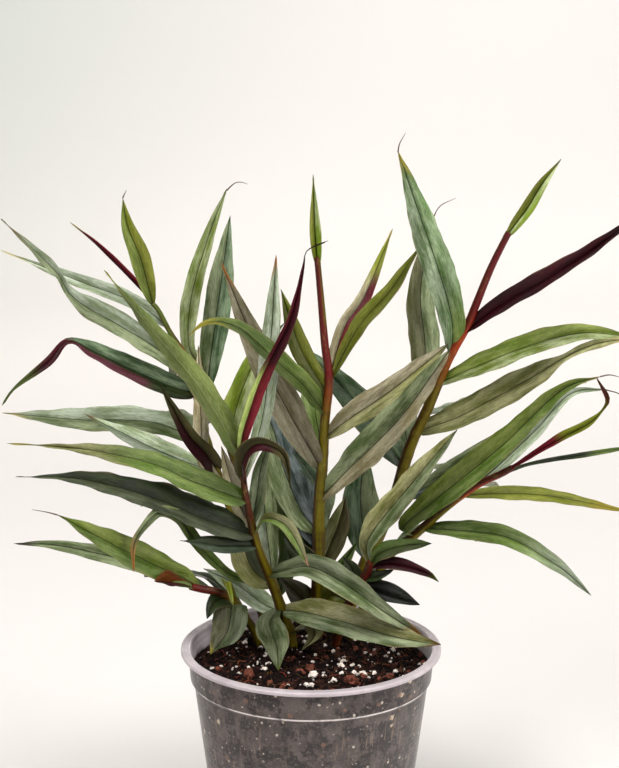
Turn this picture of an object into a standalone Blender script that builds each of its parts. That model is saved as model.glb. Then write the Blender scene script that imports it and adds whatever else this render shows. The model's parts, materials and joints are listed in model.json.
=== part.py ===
"""Ornamental ginger plant in a translucent nursery pot.

The pot is turned, with a flat flange, a collar, a ledge and a tapering wall. The growing mix fills it,
and eight leafy stems stand in plain holes in the mix. Each stem is one solid with its green leaves. Each
purple young leaf is a solid of its own, which stands a hair's breadth clear of the stem that bears it.
Origin: the centre of the pot's underside. +Z is up, and the front of the plant looks along -Y.
"""

import math

import bmesh
import bpy
import numpy as np
from mathutils import Vector

MM = 0.001
GAP = 0.35  # mm between neighbouring solids

# Pot, mm
POT_STEPS = 48
RIM_RADIUS = 65.0
RIM_TOP = 115.0
FLANGE_WIDTH = 4.2
FLANGE_THICK = 2.3
COLLAR_RADIUS = 61.4
COLLAR_FOOT_RADIUS = 60.3
COLLAR_FOOT = 99.6
LEDGE_FOOT = 97.4
WALL_TOP_RADIUS = 58.6
BASE_RADIUS = 46.0
WALL_THICK = 1.1
BASE_THICK = 1.6
DRAIN_HOLES = 6
DRAIN_RADIUS = 3.5
DRAIN_CIRCLE = 33.0
DRAIN_SIDES = 12
DRAIN_CUTTER = 8.0
RIM_CHAMFER = 0.6
FLANGE_LIP = 0.5  # depth of the chamfer under the flange
INNER_CHAMFER = (0.4, 0.8)  # width and depth of the slope inside the flange
FOOT_FLARE = 0.3
FOOT_CHAMFER = (0.6, 1.2)  # width and height of the chamfer round the underside

# Growing mix, mm
MIX_TOP = 105.5
MIX_EDGE_DROP = 0.8
MIX_EDGE_REACH = 0.45  # how far the edge of the surface reaches out past the collar's foot
MIX_RINGS = (12, 24, 35, 45, 53)
LUMP_HEIGHT = 1.6

# Stems and leaves, mm
STEM_SIDES_LEVEL = 2  # bevel resolution, which gives eight sides
STEM_STATION = 15.0  # length of stem between two rings of points
BLADE_THICK = 0.8
BLADE_STATION = 12.5  # length of blade between two rows of points
BLADE_STATIONS_MIN = 5
BLADE_STATIONS_MAX = 11
ROOT_HALF_WIDTH = 1.3
ROOT_FADE = 5  # a larger power ends the broad root sooner
PINCH_DEPTH = 0.6
PINCH_REACH = 0.09
RIPPLES = 1.7  # waves along a blade
RIPPLE_LAG = 0.25  # how far one edge runs ahead of the other
CURVE_STEPS = 12  # steps between two points of a route
HEIGHT_STATION = 2.0

# Which way the upper face of a blade looks
OPEN = (0.0, -0.75, 0.65)
FRONT = (0.0, -1.0, 0.25)
UP = (0.0, 0.25, 1.0)
SIDEWAYS = (0.5, -0.85, 0.2)


def leaf(height, width, facing, *route, widest=0.42, tail=1.05, pinch=None, fold=14, wave=0.05):
    """A blade that leaves its stem at this height and runs through the route's points, in millimetres.

    widest is where along the blade it is broadest, and a larger tail draws its tip out narrower. pinch is
    where a twist makes it narrow. fold is how far each half rises from flat, in degrees, and wave is how
    much its edges wave, as a share of the width."""
    return {
        "height": height,
        "width": width,
        "facing": facing,
        "route": route,
        "widest": widest,
        "tail": tail,
        "pinch": pinch,
        "fold": fold,
        "wave": wave,
    }


# Each stem: its route from its foot in the mix to its top, its radius at both ends, and its leaves.
STEMS = {
    "leafy_stem_front_left": {
        "route": [(-8, 28, 60), (-10, 26, 106), (-14, 24, 122), (-20, 20, 142), (-27, 14, 163),
                  (-32, 8, 188), (-34, 4, 207), (-35, 2, 217)],
        "radius": (3.8, 1.3),
        "leaves": [
            leaf(213, 13, OPEN, (-53, -12, 250), (-71, -28, 277), (-94, -50, 313), widest=0.27),
            leaf(200, 10.5, FRONT, (-24, 9, 229), (-20, 18, 264), (-17, 20, 309), widest=0.5),
            leaf(187, 15, OPEN, (-59, -4, 202), (-76, -12, 212), (-105, -24, 222), (-141, -46, 231),
                 widest=0.24, tail=1.7),
            leaf(169, 18, OPEN, (-55, 2, 182), (-78, -12, 196), (-109, -32, 210), (-137, -50, 216),
                 widest=0.3, tail=1.4),
            leaf(140, 7, OPEN, (-36, 24, 142), (-45, 24, 147), (-53, 14, 159), (-60, 5, 172), (-65, -4, 183),
                 (-73, -12, 188), (-80, -16, 183), (-86, -18, 173), (-86, -20, 160), widest=0.5),
            leaf(163, 10, OPEN, (-43, 4, 166), (-55, -2, 169), (-64, -8, 172), wave=0.12),
            leaf(124, 12, OPEN, (-25, 27, 128), (-37, 28, 137), (-55, 28, 146)),
            leaf(128, 15, OPEN, (-21, 14, 122), (-17, -6, 117), (-16, -22, 110), widest=0.45),
            leaf(147, 15, OPEN, (-1, 4, 155), (17, -6, 149), (36, -10, 136), (56, -8, 122), widest=0.38),
            leaf(125, 17, OPEN, (-3, 10, 129), (17, -2, 128), (42, -10, 123), (64, -13, 120), widest=0.45),
            leaf(172, 9, FRONT, (-37, 18, 185), (-45, 23, 212)),
            leaf(174, 8, FRONT, (-27, 16, 188), (-25, 20, 202), (-20, 23, 216)),
            leaf(168, 7, OPEN, (-24, 4, 179), (-17, -2, 181), (-10, -8, 177), (-1, -14, 160), widest=0.5),
            leaf(138, 17, FRONT, (-31, 22, 150), (-38, 28, 177)),
            leaf(113, 10, OPEN, (-1, 18, 119), (2, 9, 117), (-5, 2, 111)),
        ],
    },
    "leafy_stem_middle": {
        "route": [(3, 40, 60), (3, 40, 106), (4, 38, 150), (4, 37, 174), (6, 36, 201), (7, 35, 222),
                  (9, 34, 243), (7, 33, 261), (5, 32, 284), (3, 31, 306)],
        "radius": (4.4, 1.5),
        "leaves": [
            leaf(196, 17, FRONT, (2, 33, 203), (-12, 30, 229), (-24, 27, 255), (-35, 25, 281), (-44, 22, 305),
                 widest=0.38, tail=1.3),
            leaf(227, 13, OPEN, (-5, 22, 245), (-19, 4, 262), (-32, 0, 275), (-43, -2, 280), (-52, -4, 279),
                 (-60, -6, 273), widest=0.3),
            leaf(236, 10, FRONT, (-5, 33, 259), (-15, 32, 290)),
            leaf(244, 8, FRONT, (17, 36, 270), (27, 40, 285), (41, 48, 318), widest=0.36),
            leaf(243, 9, OPEN, (24, 30, 272), (39, 27, 290), (53, 24, 312), widest=0.5),
            leaf(212, 15, OPEN, (17, 29, 223), (42, 20, 243), (67, 12, 266), widest=0.45),
            leaf(181, 19, OPEN, (17, 27, 197), (44, 8, 231), (66, -12, 268), widest=0.45),
            leaf(140, 14, FRONT, (10, 44, 154), (14, 47, 163), (18, 50, 178)),
            leaf(125, 8, FRONT, (12, 34, 140), (18, 30, 150), (24, 28, 161)),
            leaf(163, 18, FRONT, (-4, 41, 171), (-9, 43, 181), (-15, 46, 197), (-19, 50, 213), (-26, 52, 228),
                 widest=0.4),
            leaf(155, 13, FRONT, (-3, 46, 166), (-4, 52, 181), (-7, 56, 198), (-11, 58, 214)),
            leaf(142, 12, FRONT, (-5, 34, 151), (-14, 32, 162)),
            leaf(147, 9, FRONT, (-2, 42, 154), (-8, 44, 165)),
            leaf(118, 15, OPEN, (-7, 36, 130), (-16, 35, 139)),
            leaf(116, 15, OPEN, (10, 32, 130), (21, 28, 127)),
            leaf(303, 8, FRONT, (2, 31, 320), (1, 33, 347), widest=0.35, fold=45),
            leaf(160, 15, UP, (6, 70, 176), (8, 100, 170), (10, 130, 152)),
            leaf(205, 14, UP, (2, 66, 222), (4, 98, 226), (8, 128, 212)),
            leaf(186, 15, UP, (-12, 66, 204), (-20, 96, 206), (-26, 128, 190)),
        ],
    },
    "leafy_stem_right": {
        "route": [(12, 41, 60), (16, 46, 106), (21, 47, 123), (29, 46, 144), (36, 45, 161), (43, 44, 178),
                  (48, 42, 198), (53, 41, 213), (60, 40, 229), (69, 37, 253), (78, 34, 271), (82, 32, 282),
                  (89, 30, 301), (97, 27, 319)],
        "radius": (4.6, 1.9),
        "leaves": [
            leaf(257, 16, FRONT, (70, 28, 275), (63, 16, 300), (48, -8, 342), (40, -24, 364), widest=0.38),
            leaf(228, 16, FRONT, (58, 52, 260), (56, 60, 284), (62, 70, 319)),
            leaf(317, 8, FRONT, (106, 24, 332), (112, 22, 343), (121, 20, 356), fold=40),
            leaf(241, 14, OPEN, (82, 34, 250), (109, 26, 263), (134, 16, 271), (158, 8, 270)),
            leaf(214, 15, OPEN, (76, 42, 223), (106, 44, 239), (138, 46, 257), (163, 48, 262),
                 widest=0.36, pinch=0.72),
            leaf(196, 16, FRONT, (33, 60, 213), (18, 70, 230), (-6, 80, 252)),
            leaf(145, 20, FRONT, (27, 54, 161), (26, 60, 176), (28, 66, 200)),
            leaf(179, 11, OPEN, (56, 40, 184), (71, 34, 196), (95, 26, 215), (116, 20, 237)),
            leaf(178, 14, UP, (58, 75, 186), (72, 104, 178), (84, 128, 160)),
            leaf(203, 14, UP, (48, 72, 220), (48, 100, 220), (46, 128, 204)),
            leaf(224, 13, UP, (79, 68, 223), (101, 98, 223), (119, 120, 222)),
        ],
    },
    "leafy_stem_low_right": {
        "route": [(18, 36, 70), (22, 33, 106), (38, 26, 151), (52, 20, 166), (67, 14, 182), (81, 8, 195),
                  (93, 5, 202), (99, 3, 206)],
        "radius": (3.4, 1.6),
        "leaves": [
            leaf(142, 14, OPEN, (28, 24, 157), (32, 17, 171), (49, 2, 198), (70, -16, 230), widest=0.45),
            leaf(166, 15, OPEN, (46, 17, 171), (59, 9, 186), (92, -8, 220), (118, -24, 251), (135, -34, 260)),
            leaf(194, 8, OPEN, (94, 11, 206), (111, 14, 222), (128, 16, 240), (145, 18, 242)),
            leaf(190, 8, OPEN, (94, 17, 189), (121, 30, 184), (166, 48, 170)),
            leaf(170, 12, OPEN, (76, 6, 173), (97, -10, 174), (120, -26, 164), (134, -36, 153)),
            leaf(203, 3, OPEN, (111, 9, 207), (136, 13, 210), (163, 18, 213), widest=0.6),
            leaf(151, 13, UP, (56, 48, 160), (74, 72, 154), (90, 94, 140)),
            leaf(174, 12, UP, (76, 40, 184), (92, 66, 180), (104, 92, 168)),
        ],
    },
    "leafy_stem_low_left": {
        "route": [(-22, 32, 70), (-27, 28, 106), (-34, 24, 122), (-40, 20, 132), (-47, 14, 138),
                  (-56, 8, 142), (-60, 5, 144)],
        "radius": (2.8, 1.8),
        "leaves": [
            leaf(142, 16, OPEN, (-63, 4, 149), (-74, -4, 157), (-95, -18, 173), (-120, -38, 194)),
            leaf(140, 10, OPEN, (-63, 15, 144), (-91, 12, 155), (-125, 6, 165), (-147, 0, 168)),
            leaf(129, 19, OPEN, (-40, 13, 131), (-42, 4, 121), (-50, -8, 113)),
            leaf(128, 6, OPEN, (-43, 17, 143), (-41, 10, 140), (-39, 5, 134)),
            leaf(126, 11, OPEN, (-44, 16, 134), (-49, 8, 134), (-52, 2, 128)),
            leaf(122, 13, UP, (-50, 44, 134), (-70, 64, 132), (-90, 82, 124)),
        ],
    },
    "leafy_stem_back_left": {
        "route": [(-19, 41, 60), (-24, 46, 106), (-29, 48, 128), (-37, 50, 154), (-45, 50, 181),
                  (-53, 49, 208), (-59, 46, 233), (-63, 43, 252), (-71, 39, 267), (-76, 36, 278),
                  (-79, 35, 282)],
        "radius": (2.7, 1.2),
        "leaves": [
            leaf(244, 14, OPEN, (-76, 34, 259), (-94, 24, 273), (-115, 12, 289), (-124, 6, 304),
                 (-147, -4, 330), widest=0.34, pinch=0.66),
            leaf(271, 9, OPEN, (-88, 43, 281), (-116, 48, 291), (-157, 54, 306)),
            leaf(282, 10, FRONT, (-84, 30, 305), (-90, 28, 322), (-92, 26, 336)),
            leaf(233, 13, OPEN, (-74, 36, 241), (-105, 24, 259), (-119, 16, 267), (-129, 12, 257),
                 (-145, 8, 245), (-151, 4, 237), widest=0.25, pinch=0.62),
            leaf(207, 15, OPEN, (-83, 50, 218), (-119, 54, 218), (-160, 60, 220)),
            leaf(191, 12, OPEN, (-62, 42, 198), (-86, 28, 213), (-112, 16, 230)),
            leaf(184, 8, FRONT, (-55, 45, 199), (-56, 41, 226), (-57, 44, 259)),
            leaf(154, 13, UP, (-58, 72, 168), (-78, 94, 166), (-94, 114, 154)),
            leaf(196, 14, UP, (-66, 76, 212), (-80, 102, 210), (-90, 128, 194)),
        ],
    },
    "leafy_stem_back": {
        "route": [(-10, 43, 60), (-13, 50, 106), (-20, 54, 131), (-28, 60, 157), (-37, 64, 183),
                  (-46, 64, 210), (-53, 62, 229), (-58, 60, 245)],
        "radius": (2.5, 1.3),
        "leaves": [
            leaf(245, 9.5, FRONT, (-63, 60, 257), (-61, 62, 282), (-52, 66, 312), (-43, 72, 335)),
            leaf(232, 15, FRONT, (-51, 66, 255), (-46, 76, 290), (-42, 88, 319)),
            leaf(195, 13, FRONT, (-39, 56, 222), (-27, 48, 253), (-13, 44, 271)),
            leaf(131, 13, FRONT, (-22, 52, 150), (-24, 54, 168), (-25, 56, 186), (-21, 58, 209), widest=0.5),
            leaf(122, 12, FRONT, (-11, 62, 143), (-14, 68, 161), (-16, 72, 176), (-17, 76, 192)),
            leaf(150, 14, UP, (-30, 88, 166), (-36, 116, 162), (-42, 138, 146)),
            leaf(198, 14, UP, (-46, 96, 214), (-52, 124, 210), (-58, 148, 192)),
            leaf(238, 13, UP, (-64, 90, 244), (-72, 116, 238), (-78, 138, 218)),
        ],
    },
    "leafy_stem_short": {
        "route": [(8, 26, 75), (12, 24, 106), (20, 16, 133), (24, 12, 142), (28, 9, 150), (30, 7, 156)],
        "radius": (3.0, 2.2),
        "leaves": [
            leaf(144, 11, OPEN, (37, 6, 141), (54, -2, 137)),
            leaf(147, 6, OPEN, (33, 6, 149), (41, 4, 153)),
            leaf(138, 9, OPEN, (21, 14, 149), (16, 16, 156)),
            leaf(154, 9, OPEN, (34, 4, 162), (46, 0, 167), (59, -6, 170), wave=0.1),
        ],
    },
}

# Each young leaf: the stem that bears it, and its blade.
YOUNG_LEAVES = {
    "young_leaf_front_left_top": (
        "leafy_stem_front_left",
        leaf(216, 9, SIDEWAYS, (-32, -2, 228), (-24, -6, 252), (-10, -10, 282), (-4, -12, 307),
             (-2, -12, 316), (8, -14, 321), widest=0.33, fold=35),
    ),
    "young_leaf_front_left_side": (
        "leafy_stem_front_left",
        leaf(198, 9, FRONT, (-34, -4, 210), (-30, -9, 219), (-23, -13, 222), (-14, -15, 218), (-11, -16, 210),
             (-10, -17, 201), widest=0.3, fold=30),
    ),
    "young_leaf_back_left_top": (
        "leafy_stem_back_left",
        leaf(282, 3.5, OPEN, (-85, 37, 290), (-104, 40, 309), (-120, 42, 322), fold=35),
    ),
    "young_leaf_back_left_side": (
        "leafy_stem_back_left",
        leaf(192, 11, FRONT, (-53, 38, 203), (-62, 28, 217), (-75, 20, 244), widest=0.3, fold=25),
    ),
    "young_leaf_right": (
        "leafy_stem_right",
        leaf(268, 11, OPEN, (94, 28, 283), (115, 22, 297), (136, 16, 312), (156, 8, 329), fold=25),
    ),
    "young_leaf_low_right_top": (
        "leafy_stem_low_right",
        leaf(205, 6, OPEN, (121, -2, 222), (135, -6, 231), (141, -8, 238), (143, -8, 244), (137, -8, 254),
             widest=0.55, pinch=0.75, fold=35),
    ),
    "young_leaf_low_left_top": (
        "leafy_stem_low_left",
        leaf(143, 11, OPEN, (-67, -4, 150), (-76, -20, 155), widest=0.6, fold=35),
    ),
    "young_leaf_short_stem": (
        "leafy_stem_short",
        leaf(155, 7, OPEN, (42, 2, 157), (57, -4, 154), (63, -6, 150), fold=20),
    ),
}

POT_GREY = (0.62, 0.58, 0.57)
MIX_BROWN = (0.035, 0.018, 0.012)
LEAF_GREEN = (0.10, 0.16, 0.05)
YOUNG_PURPLE = (0.07, 0.008, 0.02)


def new_material(name, colour, roughness):
    material = bpy.data.materials.new(name)
    material.use_nodes = True
    shader = material.node_tree.nodes["Principled BSDF"]
    shader.inputs["Base Color"].default_value = (*colour, 1)
    shader.inputs["Roughness"].default_value = roughness
    shader.inputs["Metallic"].default_value = 0
    return material


def new_object(name, mesh, collection):
    made = bpy.data.objects.new(name, mesh)
    collection.objects.link(made)
    return made


def evaluated_mesh(source):
    """The mesh of this object with its modifiers applied, or of this curve with its bevel."""
    bpy.context.view_layer.update()
    graph = bpy.context.evaluated_depsgraph_get()
    return bpy.data.meshes.new_from_object(source.evaluated_get(graph))


def remove_objects(objects):
    for unwanted in list(objects):
        bpy.data.objects.remove(unwanted, do_unlink=True)


def empty_collection(name):
    collection = bpy.data.collections.new(name)
    bpy.context.scene.collection.children.link(collection)
    return collection


def smooth_route(points, spacing, least, most):
    """Evenly spaced points of a smooth curve through these points, and the curve's length, in mm."""
    knots = [np.array(point, dtype=float) for point in points]
    knots = [2 * knots[0] - knots[1], *knots, 2 * knots[-1] - knots[-2]]
    dense = []
    for before, start, end, after in zip(knots, knots[1:], knots[2:], knots[3:]):
        for t in np.linspace(0, 1, CURVE_STEPS, endpoint=False):
            tangent_in = 0.5 * (end - before)
            tangent_out = 0.5 * (after - start)
            dense.append(
                (2 * t**3 - 3 * t**2 + 1) * start
                + (t**3 - 2 * t**2 + t) * tangent_in
                + (3 * t**2 - 2 * t**3) * end
                + (t**3 - t**2) * tangent_out
            )
    dense = np.array([*dense, knots[-2]])
    travelled = np.concatenate([[0], np.cumsum(np.linalg.norm(np.diff(dense, axis=0), axis=1))])
    count = int(np.clip(round(travelled[-1] / spacing) + 1, least, most))
    wanted = np.linspace(0, travelled[-1], count)
    even = np.stack([np.interp(wanted, travelled, dense[:, axis]) for axis in range(3)], axis=1)
    return [Vector(point) for point in even], travelled[-1]


def stem_solid(name, stem, extra, collection):
    """A tapering round stem along its route, larger all round by extra mm."""
    points, _ = smooth_route(stem["route"], STEM_STATION, 4, 40)
    if extra:
        points[0] = points[0] + (points[0] - points[1]).normalized() * extra
        points[-1] = points[-1] + (points[-1] - points[-2]).normalized() * extra
    curve = bpy.data.curves.new(name, "CURVE")
    curve.dimensions = "3D"
    curve.bevel_depth = MM
    curve.bevel_resolution = STEM_SIDES_LEVEL
    curve.use_fill_caps = True
    spline = curve.splines.new("POLY")
    spline.points.add(len(points) - 1)
    foot_radius, top_radius = stem["radius"]
    for index, (handle, point) in enumerate(zip(spline.points, points)):
        share = index / (len(points) - 1)
        handle.co = (*(point * MM), 1)
        handle.radius = foot_radius + (top_radius - foot_radius) * share + extra
    source = new_object(name, curve, collection)
    mesh = evaluated_mesh(source)
    remove_objects([source])
    weld_caps(mesh)
    return new_object(name, mesh, collection)


def weld_caps(mesh):
    shape = bmesh.new()
    shape.from_mesh(mesh)
    bmesh.ops.remove_doubles(shape, verts=shape.verts, dist=0.01 * MM)
    bmesh.ops.recalc_face_normals(shape, faces=shape.faces)
    shape.to_mesh(mesh)
    shape.free()


def point_at_height(route, height):
    """The point of a stem's route at this height."""
    points, _ = smooth_route(route, HEIGHT_STATION, 4, 400)
    return min(points, key=lambda point: abs(point.z - height))


def lance(share, blade):
    """Half-width of a lance-shaped blade, from 0 at its ends to 1 where it is widest."""
    if share <= 0 or share >= 1:
        return 0.0
    widest = blade["widest"]
    root_power = blade["tail"] * widest / (1 - widest)
    rise = (share / widest) ** root_power
    fall = ((1 - share) / (1 - widest)) ** blade["tail"]
    narrowed = 1.0
    if blade["pinch"]:
        narrowed = 1 - PINCH_DEPTH * math.exp(-(((share - blade["pinch"]) / PINCH_REACH) ** 2))
    return rise * fall * narrowed


def blade_solid(name, stem, blade, extra, collection):
    """A thin folded blade that starts on its stem's centre line, larger all round by extra mm."""
    start = point_at_height(stem["route"], blade["height"])
    points, length = smooth_route(
        [tuple(start), *blade["route"]], BLADE_STATION, BLADE_STATIONS_MIN, BLADE_STATIONS_MAX
    )
    last = len(points) - 1
    tangents = [(points[min(i + 1, last)] - points[max(i - 1, 0)]).normalized() for i in range(last + 1)]
    middle = last // 2
    normals = {middle: across(Vector(blade["facing"]), tangents[middle])}
    for i in range(middle + 1, last + 1):
        normals[i] = across(normals[i - 1], tangents[i])
    for i in range(middle - 1, -1, -1):
        normals[i] = across(normals[i + 1], tangents[i])
    vertices = []
    for i in range(last):
        share = i / last
        half = 0.5 * blade["width"] * lance(share, blade) + ROOT_HALF_WIDTH * (1 - share) ** ROOT_FADE + extra
        side = tangents[i].cross(normals[i])
        for sign in (-1, 0, 1):
            phase = 2 * math.pi * (RIPPLES * share + RIPPLE_LAG * sign)
            ripple = blade["wave"] * blade["width"] * math.sin(phase) * share
            lift = half * math.sin(math.radians(blade["fold"])) * (abs(sign) - 0.5) + ripple * abs(sign)
            out = half * math.cos(math.radians(blade["fold"]))
            vertices.append((points[i] + side * out * sign + normals[i] * lift) * MM)
    vertices.append((points[last] + tangents[last] * extra) * MM)
    faces = []
    for i in range(last - 1):
        left, rib, right = 3 * i, 3 * i + 1, 3 * i + 2
        faces += [(left, rib, rib + 3), (left, rib + 3, left + 3)]
        faces += [(rib, right, right + 3), (rib, right + 3, rib + 3)]
    tip = 3 * last
    faces += [(tip - 3, tip - 2, tip), (tip - 2, tip - 1, tip)]
    mesh = bpy.data.meshes.new(name)
    mesh.from_pydata(vertices, [], faces)
    made = new_object(name, mesh, collection)
    shell = made.modifiers.new("thickness", "SOLIDIFY")
    shell.thickness = (BLADE_THICK + 2 * extra) * MM
    shell.offset = 0
    return made


def across(direction, tangent):
    """The part of a direction that is square to the tangent."""
    return (direction - tangent * direction.dot(tangent)).normalized()


def boolean(target, operation, collection):
    """Joins a collection to the target, or cuts it away, and applies the result."""
    modifier = target.modifiers.new(operation.lower(), "BOOLEAN")
    modifier.operation = operation
    modifier.operand_type = "COLLECTION"
    modifier.collection = collection
    modifier.solver = "EXACT"
    mesh = evaluated_mesh(target)
    target.modifiers.clear()
    target.data = mesh


def keep_largest_body(mesh):
    """Drops the loose scraps that a cut leaves."""
    shape = bmesh.new()
    shape.from_mesh(mesh)
    shape.verts.ensure_lookup_table()
    unseen = set(shape.verts)
    bodies = []
    while unseen:
        body = set()
        edge_of_search = [unseen.pop()]
        while edge_of_search:
            vertex = edge_of_search.pop()
            body.add(vertex)
            near = {edge.other_vert(vertex) for edge in vertex.link_edges} & unseen
            unseen -= near
            edge_of_search += near
        bodies.append(body)
    bodies.sort(key=len)
    for scrap in bodies[:-1]:
        bmesh.ops.delete(shape, geom=list(scrap), context="VERTS")
    shape.to_mesh(mesh)
    shape.free()


def with_material(made, material, smooth_degrees=40):
    made.data.materials.clear()
    made.data.materials.append(material)
    made.data.shade_smooth()
    made.data.set_sharp_from_angle(angle=math.radians(smooth_degrees))


def turned(name, profile, steps, collection):
    """A solid turned about Z from a profile in mm that starts and ends on the axis."""
    mesh = bpy.data.meshes.new(name)
    edges = [(i, i + 1) for i in range(len(profile) - 1)]
    mesh.from_pydata([(radius * MM, 0, height * MM) for radius, height in profile], edges, [])
    made = new_object(name, mesh, collection)
    screw = made.modifiers.new("turn", "SCREW")
    screw.steps = steps
    screw.render_steps = steps
    screw.use_merge_vertices = True
    screw.merge_threshold = 0.0001
    made.data = evaluated_mesh(made)
    made.modifiers.clear()
    return made


def make_pot(collection, cutters, material):
    inner = WALL_THICK
    profile = [
        (0, BASE_THICK),
        (BASE_RADIUS - inner, BASE_THICK),
        (WALL_TOP_RADIUS - inner, LEDGE_FOOT),
        (COLLAR_FOOT_RADIUS - inner, COLLAR_FOOT),
        (RIM_RADIUS - FLANGE_WIDTH - INNER_CHAMFER[0], RIM_TOP - INNER_CHAMFER[1]),
        (RIM_RADIUS - FLANGE_WIDTH, RIM_TOP),
        (RIM_RADIUS - RIM_CHAMFER, RIM_TOP),
        (RIM_RADIUS, RIM_TOP - RIM_CHAMFER),
        (RIM_RADIUS, RIM_TOP - FLANGE_THICK + FLANGE_LIP),
        (RIM_RADIUS - RIM_CHAMFER, RIM_TOP - FLANGE_THICK),
        (COLLAR_RADIUS, RIM_TOP - FLANGE_THICK),
        (COLLAR_FOOT_RADIUS, COLLAR_FOOT),
        (WALL_TOP_RADIUS, LEDGE_FOOT),
        (BASE_RADIUS + FOOT_FLARE, FOOT_CHAMFER[1]),
        (BASE_RADIUS - FOOT_CHAMFER[0], 0),
        (0, 0),
    ]
    pot = turned("pot", profile, POT_STEPS, collection)
    for hole in range(DRAIN_HOLES):
        angle = 2 * math.pi * hole / DRAIN_HOLES
        bpy.ops.mesh.primitive_cylinder_add(
            vertices=DRAIN_SIDES,
            radius=DRAIN_RADIUS * MM,
            depth=DRAIN_CUTTER * MM,
            location=(DRAIN_CIRCLE * MM * math.cos(angle), DRAIN_CIRCLE * MM * math.sin(angle), 0),
        )
        cutter = bpy.context.object
        for owner in list(cutter.users_collection):
            owner.objects.unlink(cutter)
        cutters.objects.link(cutter)
    boolean(pot, "DIFFERENCE", cutters)
    remove_objects(cutters.objects)
    with_material(pot, material, 30)
    return pot


def lump(x, y):
    """Height of the mix's surface above its level, in mm, at this place."""
    coarse = math.sin(0.31 * x + 0.9) * math.cos(0.27 * y - 0.4) + 0.7 * math.sin(0.19 * (x - y) + 2.1)
    fine = math.sin(0.83 * x + 1.7 * math.cos(0.61 * y)) * math.cos(0.71 * y + 0.5)
    return LUMP_HEIGHT * (0.45 * coarse + 0.5 * fine)


def make_mix(collection, cutters, material):
    side = WALL_THICK + GAP
    edge_radius = COLLAR_FOOT_RADIUS - side + MIX_EDGE_REACH
    profile = [(0, MIX_TOP)]
    profile += [(radius, MIX_TOP) for radius in MIX_RINGS]
    profile += [
        (edge_radius, MIX_TOP - MIX_EDGE_DROP),
        (COLLAR_FOOT_RADIUS - side, COLLAR_FOOT),
        (WALL_TOP_RADIUS - side, LEDGE_FOOT),
        (BASE_RADIUS - side, BASE_THICK + GAP),
        (0, BASE_THICK + GAP),
    ]
    mix = turned("growing_mix", profile, POT_STEPS, collection)
    for vertex in mix.data.vertices:
        if vertex.co.z > (MIX_TOP - MIX_EDGE_DROP - GAP) * MM:
            vertex.co.z += lump(vertex.co.x / MM, vertex.co.y / MM) * MM
    for name, stem in STEMS.items():
        stem_solid(f"hole_{name}", stem, GAP, cutters)
    boolean(mix, "DIFFERENCE", cutters)
    remove_objects(cutters.objects)
    with_material(mix, material, 60)
    return mix


def make_leafy_stem(name, stem, collection, helpers, material):
    """One solid: a stem with its green leaves."""
    made = stem_solid(name, stem, 0, collection)
    for number, blade in enumerate(stem["leaves"]):
        blade_solid(f"blade_{number}", stem, blade, 0, helpers)
    boolean(made, "UNION", helpers)
    remove_objects(helpers.objects)
    with_material(made, material)
    return made


def make_young_leaf(name, stem, blade, collection, helpers, material):
    """A young leaf, cut back where it would touch the stem that bears it or that stem's other leaves."""
    made = blade_solid(name, stem, blade, 0, collection)
    made.data = evaluated_mesh(made)
    made.modifiers.clear()
    stem_solid("stem_room", stem, GAP, helpers)
    for number, other in enumerate(stem["leaves"]):
        blade_solid(f"blade_room_{number}", stem, other, GAP, helpers)
    boolean(made, "DIFFERENCE", helpers)
    remove_objects(helpers.objects)
    keep_largest_body(made.data)
    with_material(made, material)
    return made


def main():
    remove_objects(bpy.data.objects)
    plant = empty_collection("ginger plant in a pot")
    helpers = empty_collection("cutters")
    helpers.hide_render = True
    make_pot(plant, helpers, new_material("translucent plastic", POT_GREY, 0.45))
    make_mix(plant, helpers, new_material("growing mix", MIX_BROWN, 0.95))
    for name, stem in STEMS.items():
        make_leafy_stem(name, stem, plant, helpers, new_material(f"green of {name}", LEAF_GREEN, 0.45))
    for name, (bearer, blade) in YOUNG_LEAVES.items():
        purple = new_material(f"purple of {name}", YOUNG_PURPLE, 0.4)
        make_young_leaf(name, STEMS[bearer], blade, plant, helpers, purple)


main()
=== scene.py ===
import json
import math
import random

import bmesh
import bpy
import numpy as np
from mathutils import Matrix, Vector, noise

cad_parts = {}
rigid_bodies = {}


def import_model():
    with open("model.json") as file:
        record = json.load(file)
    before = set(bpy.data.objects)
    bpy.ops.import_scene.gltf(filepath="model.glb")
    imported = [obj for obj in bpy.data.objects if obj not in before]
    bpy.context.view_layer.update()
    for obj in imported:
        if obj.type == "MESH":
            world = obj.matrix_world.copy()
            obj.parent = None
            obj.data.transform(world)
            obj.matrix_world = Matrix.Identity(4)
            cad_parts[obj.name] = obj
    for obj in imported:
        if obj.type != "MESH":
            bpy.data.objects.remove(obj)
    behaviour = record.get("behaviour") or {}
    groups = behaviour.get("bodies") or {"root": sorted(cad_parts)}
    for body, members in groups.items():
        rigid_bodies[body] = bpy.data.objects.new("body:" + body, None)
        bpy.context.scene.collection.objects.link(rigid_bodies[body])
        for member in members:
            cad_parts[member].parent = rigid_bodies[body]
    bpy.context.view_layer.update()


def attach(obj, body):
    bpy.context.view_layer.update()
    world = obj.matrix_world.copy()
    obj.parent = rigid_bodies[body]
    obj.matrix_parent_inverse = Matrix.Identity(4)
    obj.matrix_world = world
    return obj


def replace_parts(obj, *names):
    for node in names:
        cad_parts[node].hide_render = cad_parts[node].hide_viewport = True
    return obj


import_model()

MM = 0.001

# Which way the upper face of a blade looks
OPEN = (0.0, -0.75, 0.65)
FRONT = (0.0, -1.0, 0.25)
UP = (0.0, 0.25, 1.0)
SIDEWAYS = (0.5, -0.85, 0.2)

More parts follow.
